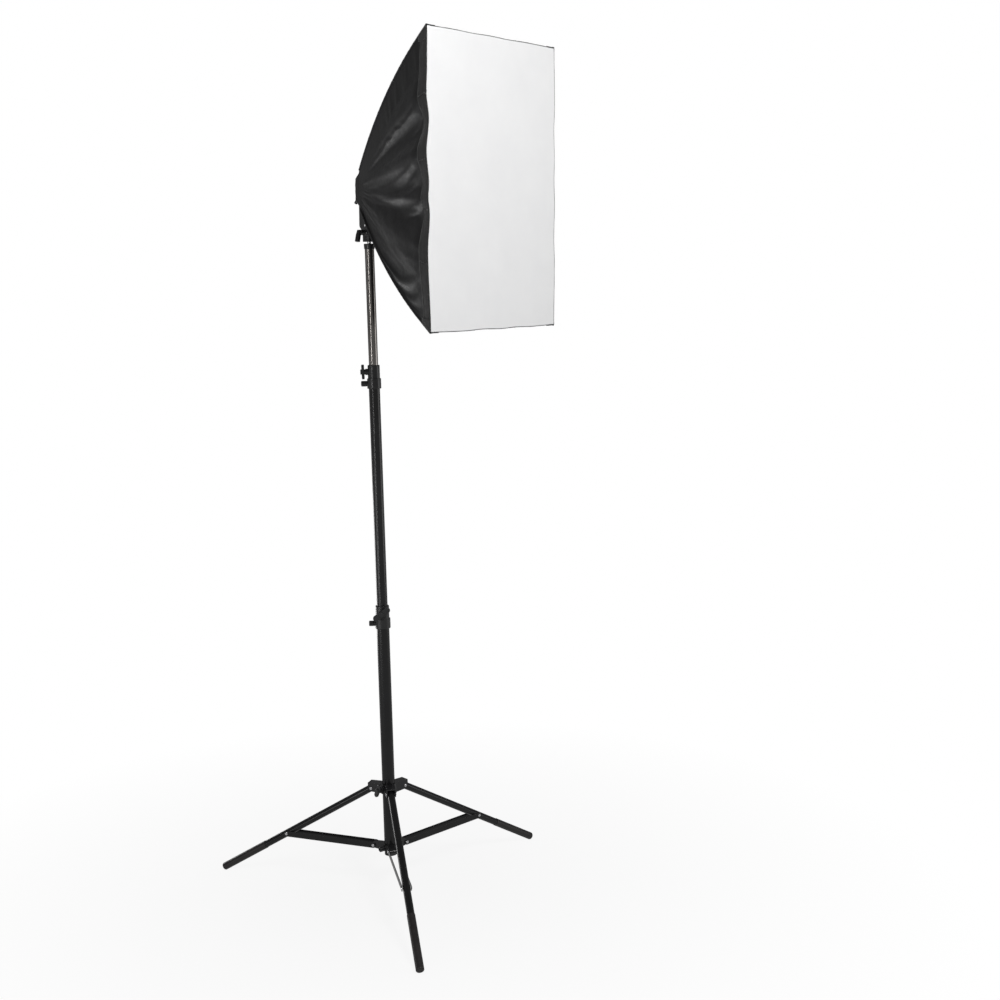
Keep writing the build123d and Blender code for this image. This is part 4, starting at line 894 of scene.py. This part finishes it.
def aimed(yaw, pitch, roll):
    """Camera axes as columns: looking along a yaw from +Y, down by a pitch, rolled about the view."""
    back = Vector((sin(yaw) * cos(pitch), -cos(yaw) * cos(pitch), sin(pitch)))
    right = Vector((cos(yaw), sin(yaw), 0))
    up = back.cross(right)
    rolled_right = right * cos(roll) + up * sin(roll)
    rolled_up = up * cos(roll) - right * sin(roll)
    return Matrix((rolled_right, rolled_up, back)).transposed()


camera_data = bpy.data.cameras.new("camera")
camera_data.sensor_width = 36
camera_data.lens = CAMERA_LENS
camera = bpy.data.objects.new("camera", camera_data)
view = aimed(CAMERA_YAW, CAMERA_PITCH, CAMERA_ROLL).to_4x4()
camera.matrix_world = Matrix.Translation(CAMERA_PLACE) @ view
scene.collection.objects.link(camera)
scene.camera = camera


def area_light(name, place, target, size, power):
    """A soft white light, in watts, that the camera doesn't see."""
    data = bpy.data.lights.new(name, "AREA")
    data.shape = "RECTANGLE"
    data.size, data.size_y = size
    data.energy = power
    light = bpy.data.objects.new(name, data)
    light.location = place
    light.visible_camera = False
    light.rotation_euler = (Vector(target) - Vector(place)).to_track_quat("-Z", "Y").to_euler()
    scene.collection.objects.link(light)


area_light("key", (-1.0, -2.3, 3.0), (0.05, -0.42, 1.93), (0.8, 0.8), 45)
area_light("side", (-3.2, 0.9, 0.2), (0, -0.2, 1.8), (0.9, 1.2), 9)
area_light("strip", (-3.6, -0.35, 1.3), (0, 0, 1.2), (0.20, 2.8), 16)
area_light("kick", (-2.4, 2.2, 1.9), (0, 0, 1.8), (0.5, 0.5), 0.5)
area_light("fill", (2.2, -3.0, 1.3), (0, 0, 1.2), (1.6, 2.4), 16)
area_light("back", (0.3, 3.0, 0.3), (-0.15, -0.2, 1.93), (1.8, 0.8), 17)

AMBIENT = 0.14  # what the white room gives as light; the camera sees it at full strength

world = bpy.data.worlds.new("studio")
world.use_nodes = True
tree = world.node_tree
backdrop = tree.nodes["Background"]
backdrop.inputs["Color"].default_value = (1, 1, 1, 1)
rays = tree.nodes.new("ShaderNodeLightPath")
strength = tree.nodes.new("ShaderNodeMapRange")
strength.inputs["To Min"].default_value = AMBIENT
strength.inputs["To Max"].default_value = 1.0
tree.links.new(rays.outputs["Is Camera Ray"], strength.inputs["Value"])
tree.links.new(strength.outputs["Result"], backdrop.inputs["Strength"])
scene.world = world
scene.view_settings.view_transform = "Standard"

FLOOR_HALF = 30
floor_mesh = bpy.data.meshes.new("floor")
floor_corners = [(x * FLOOR_HALF, y * FLOOR_HALF, 0) for x, y in ((-1, -1), (1, -1), (1, 1), (-1, 1))]
floor_mesh.from_pydata(floor_corners, [], [(0, 1, 2, 3)])
floor = new_object("floor", floor_mesh)
floor.data.materials.append(floor_material())
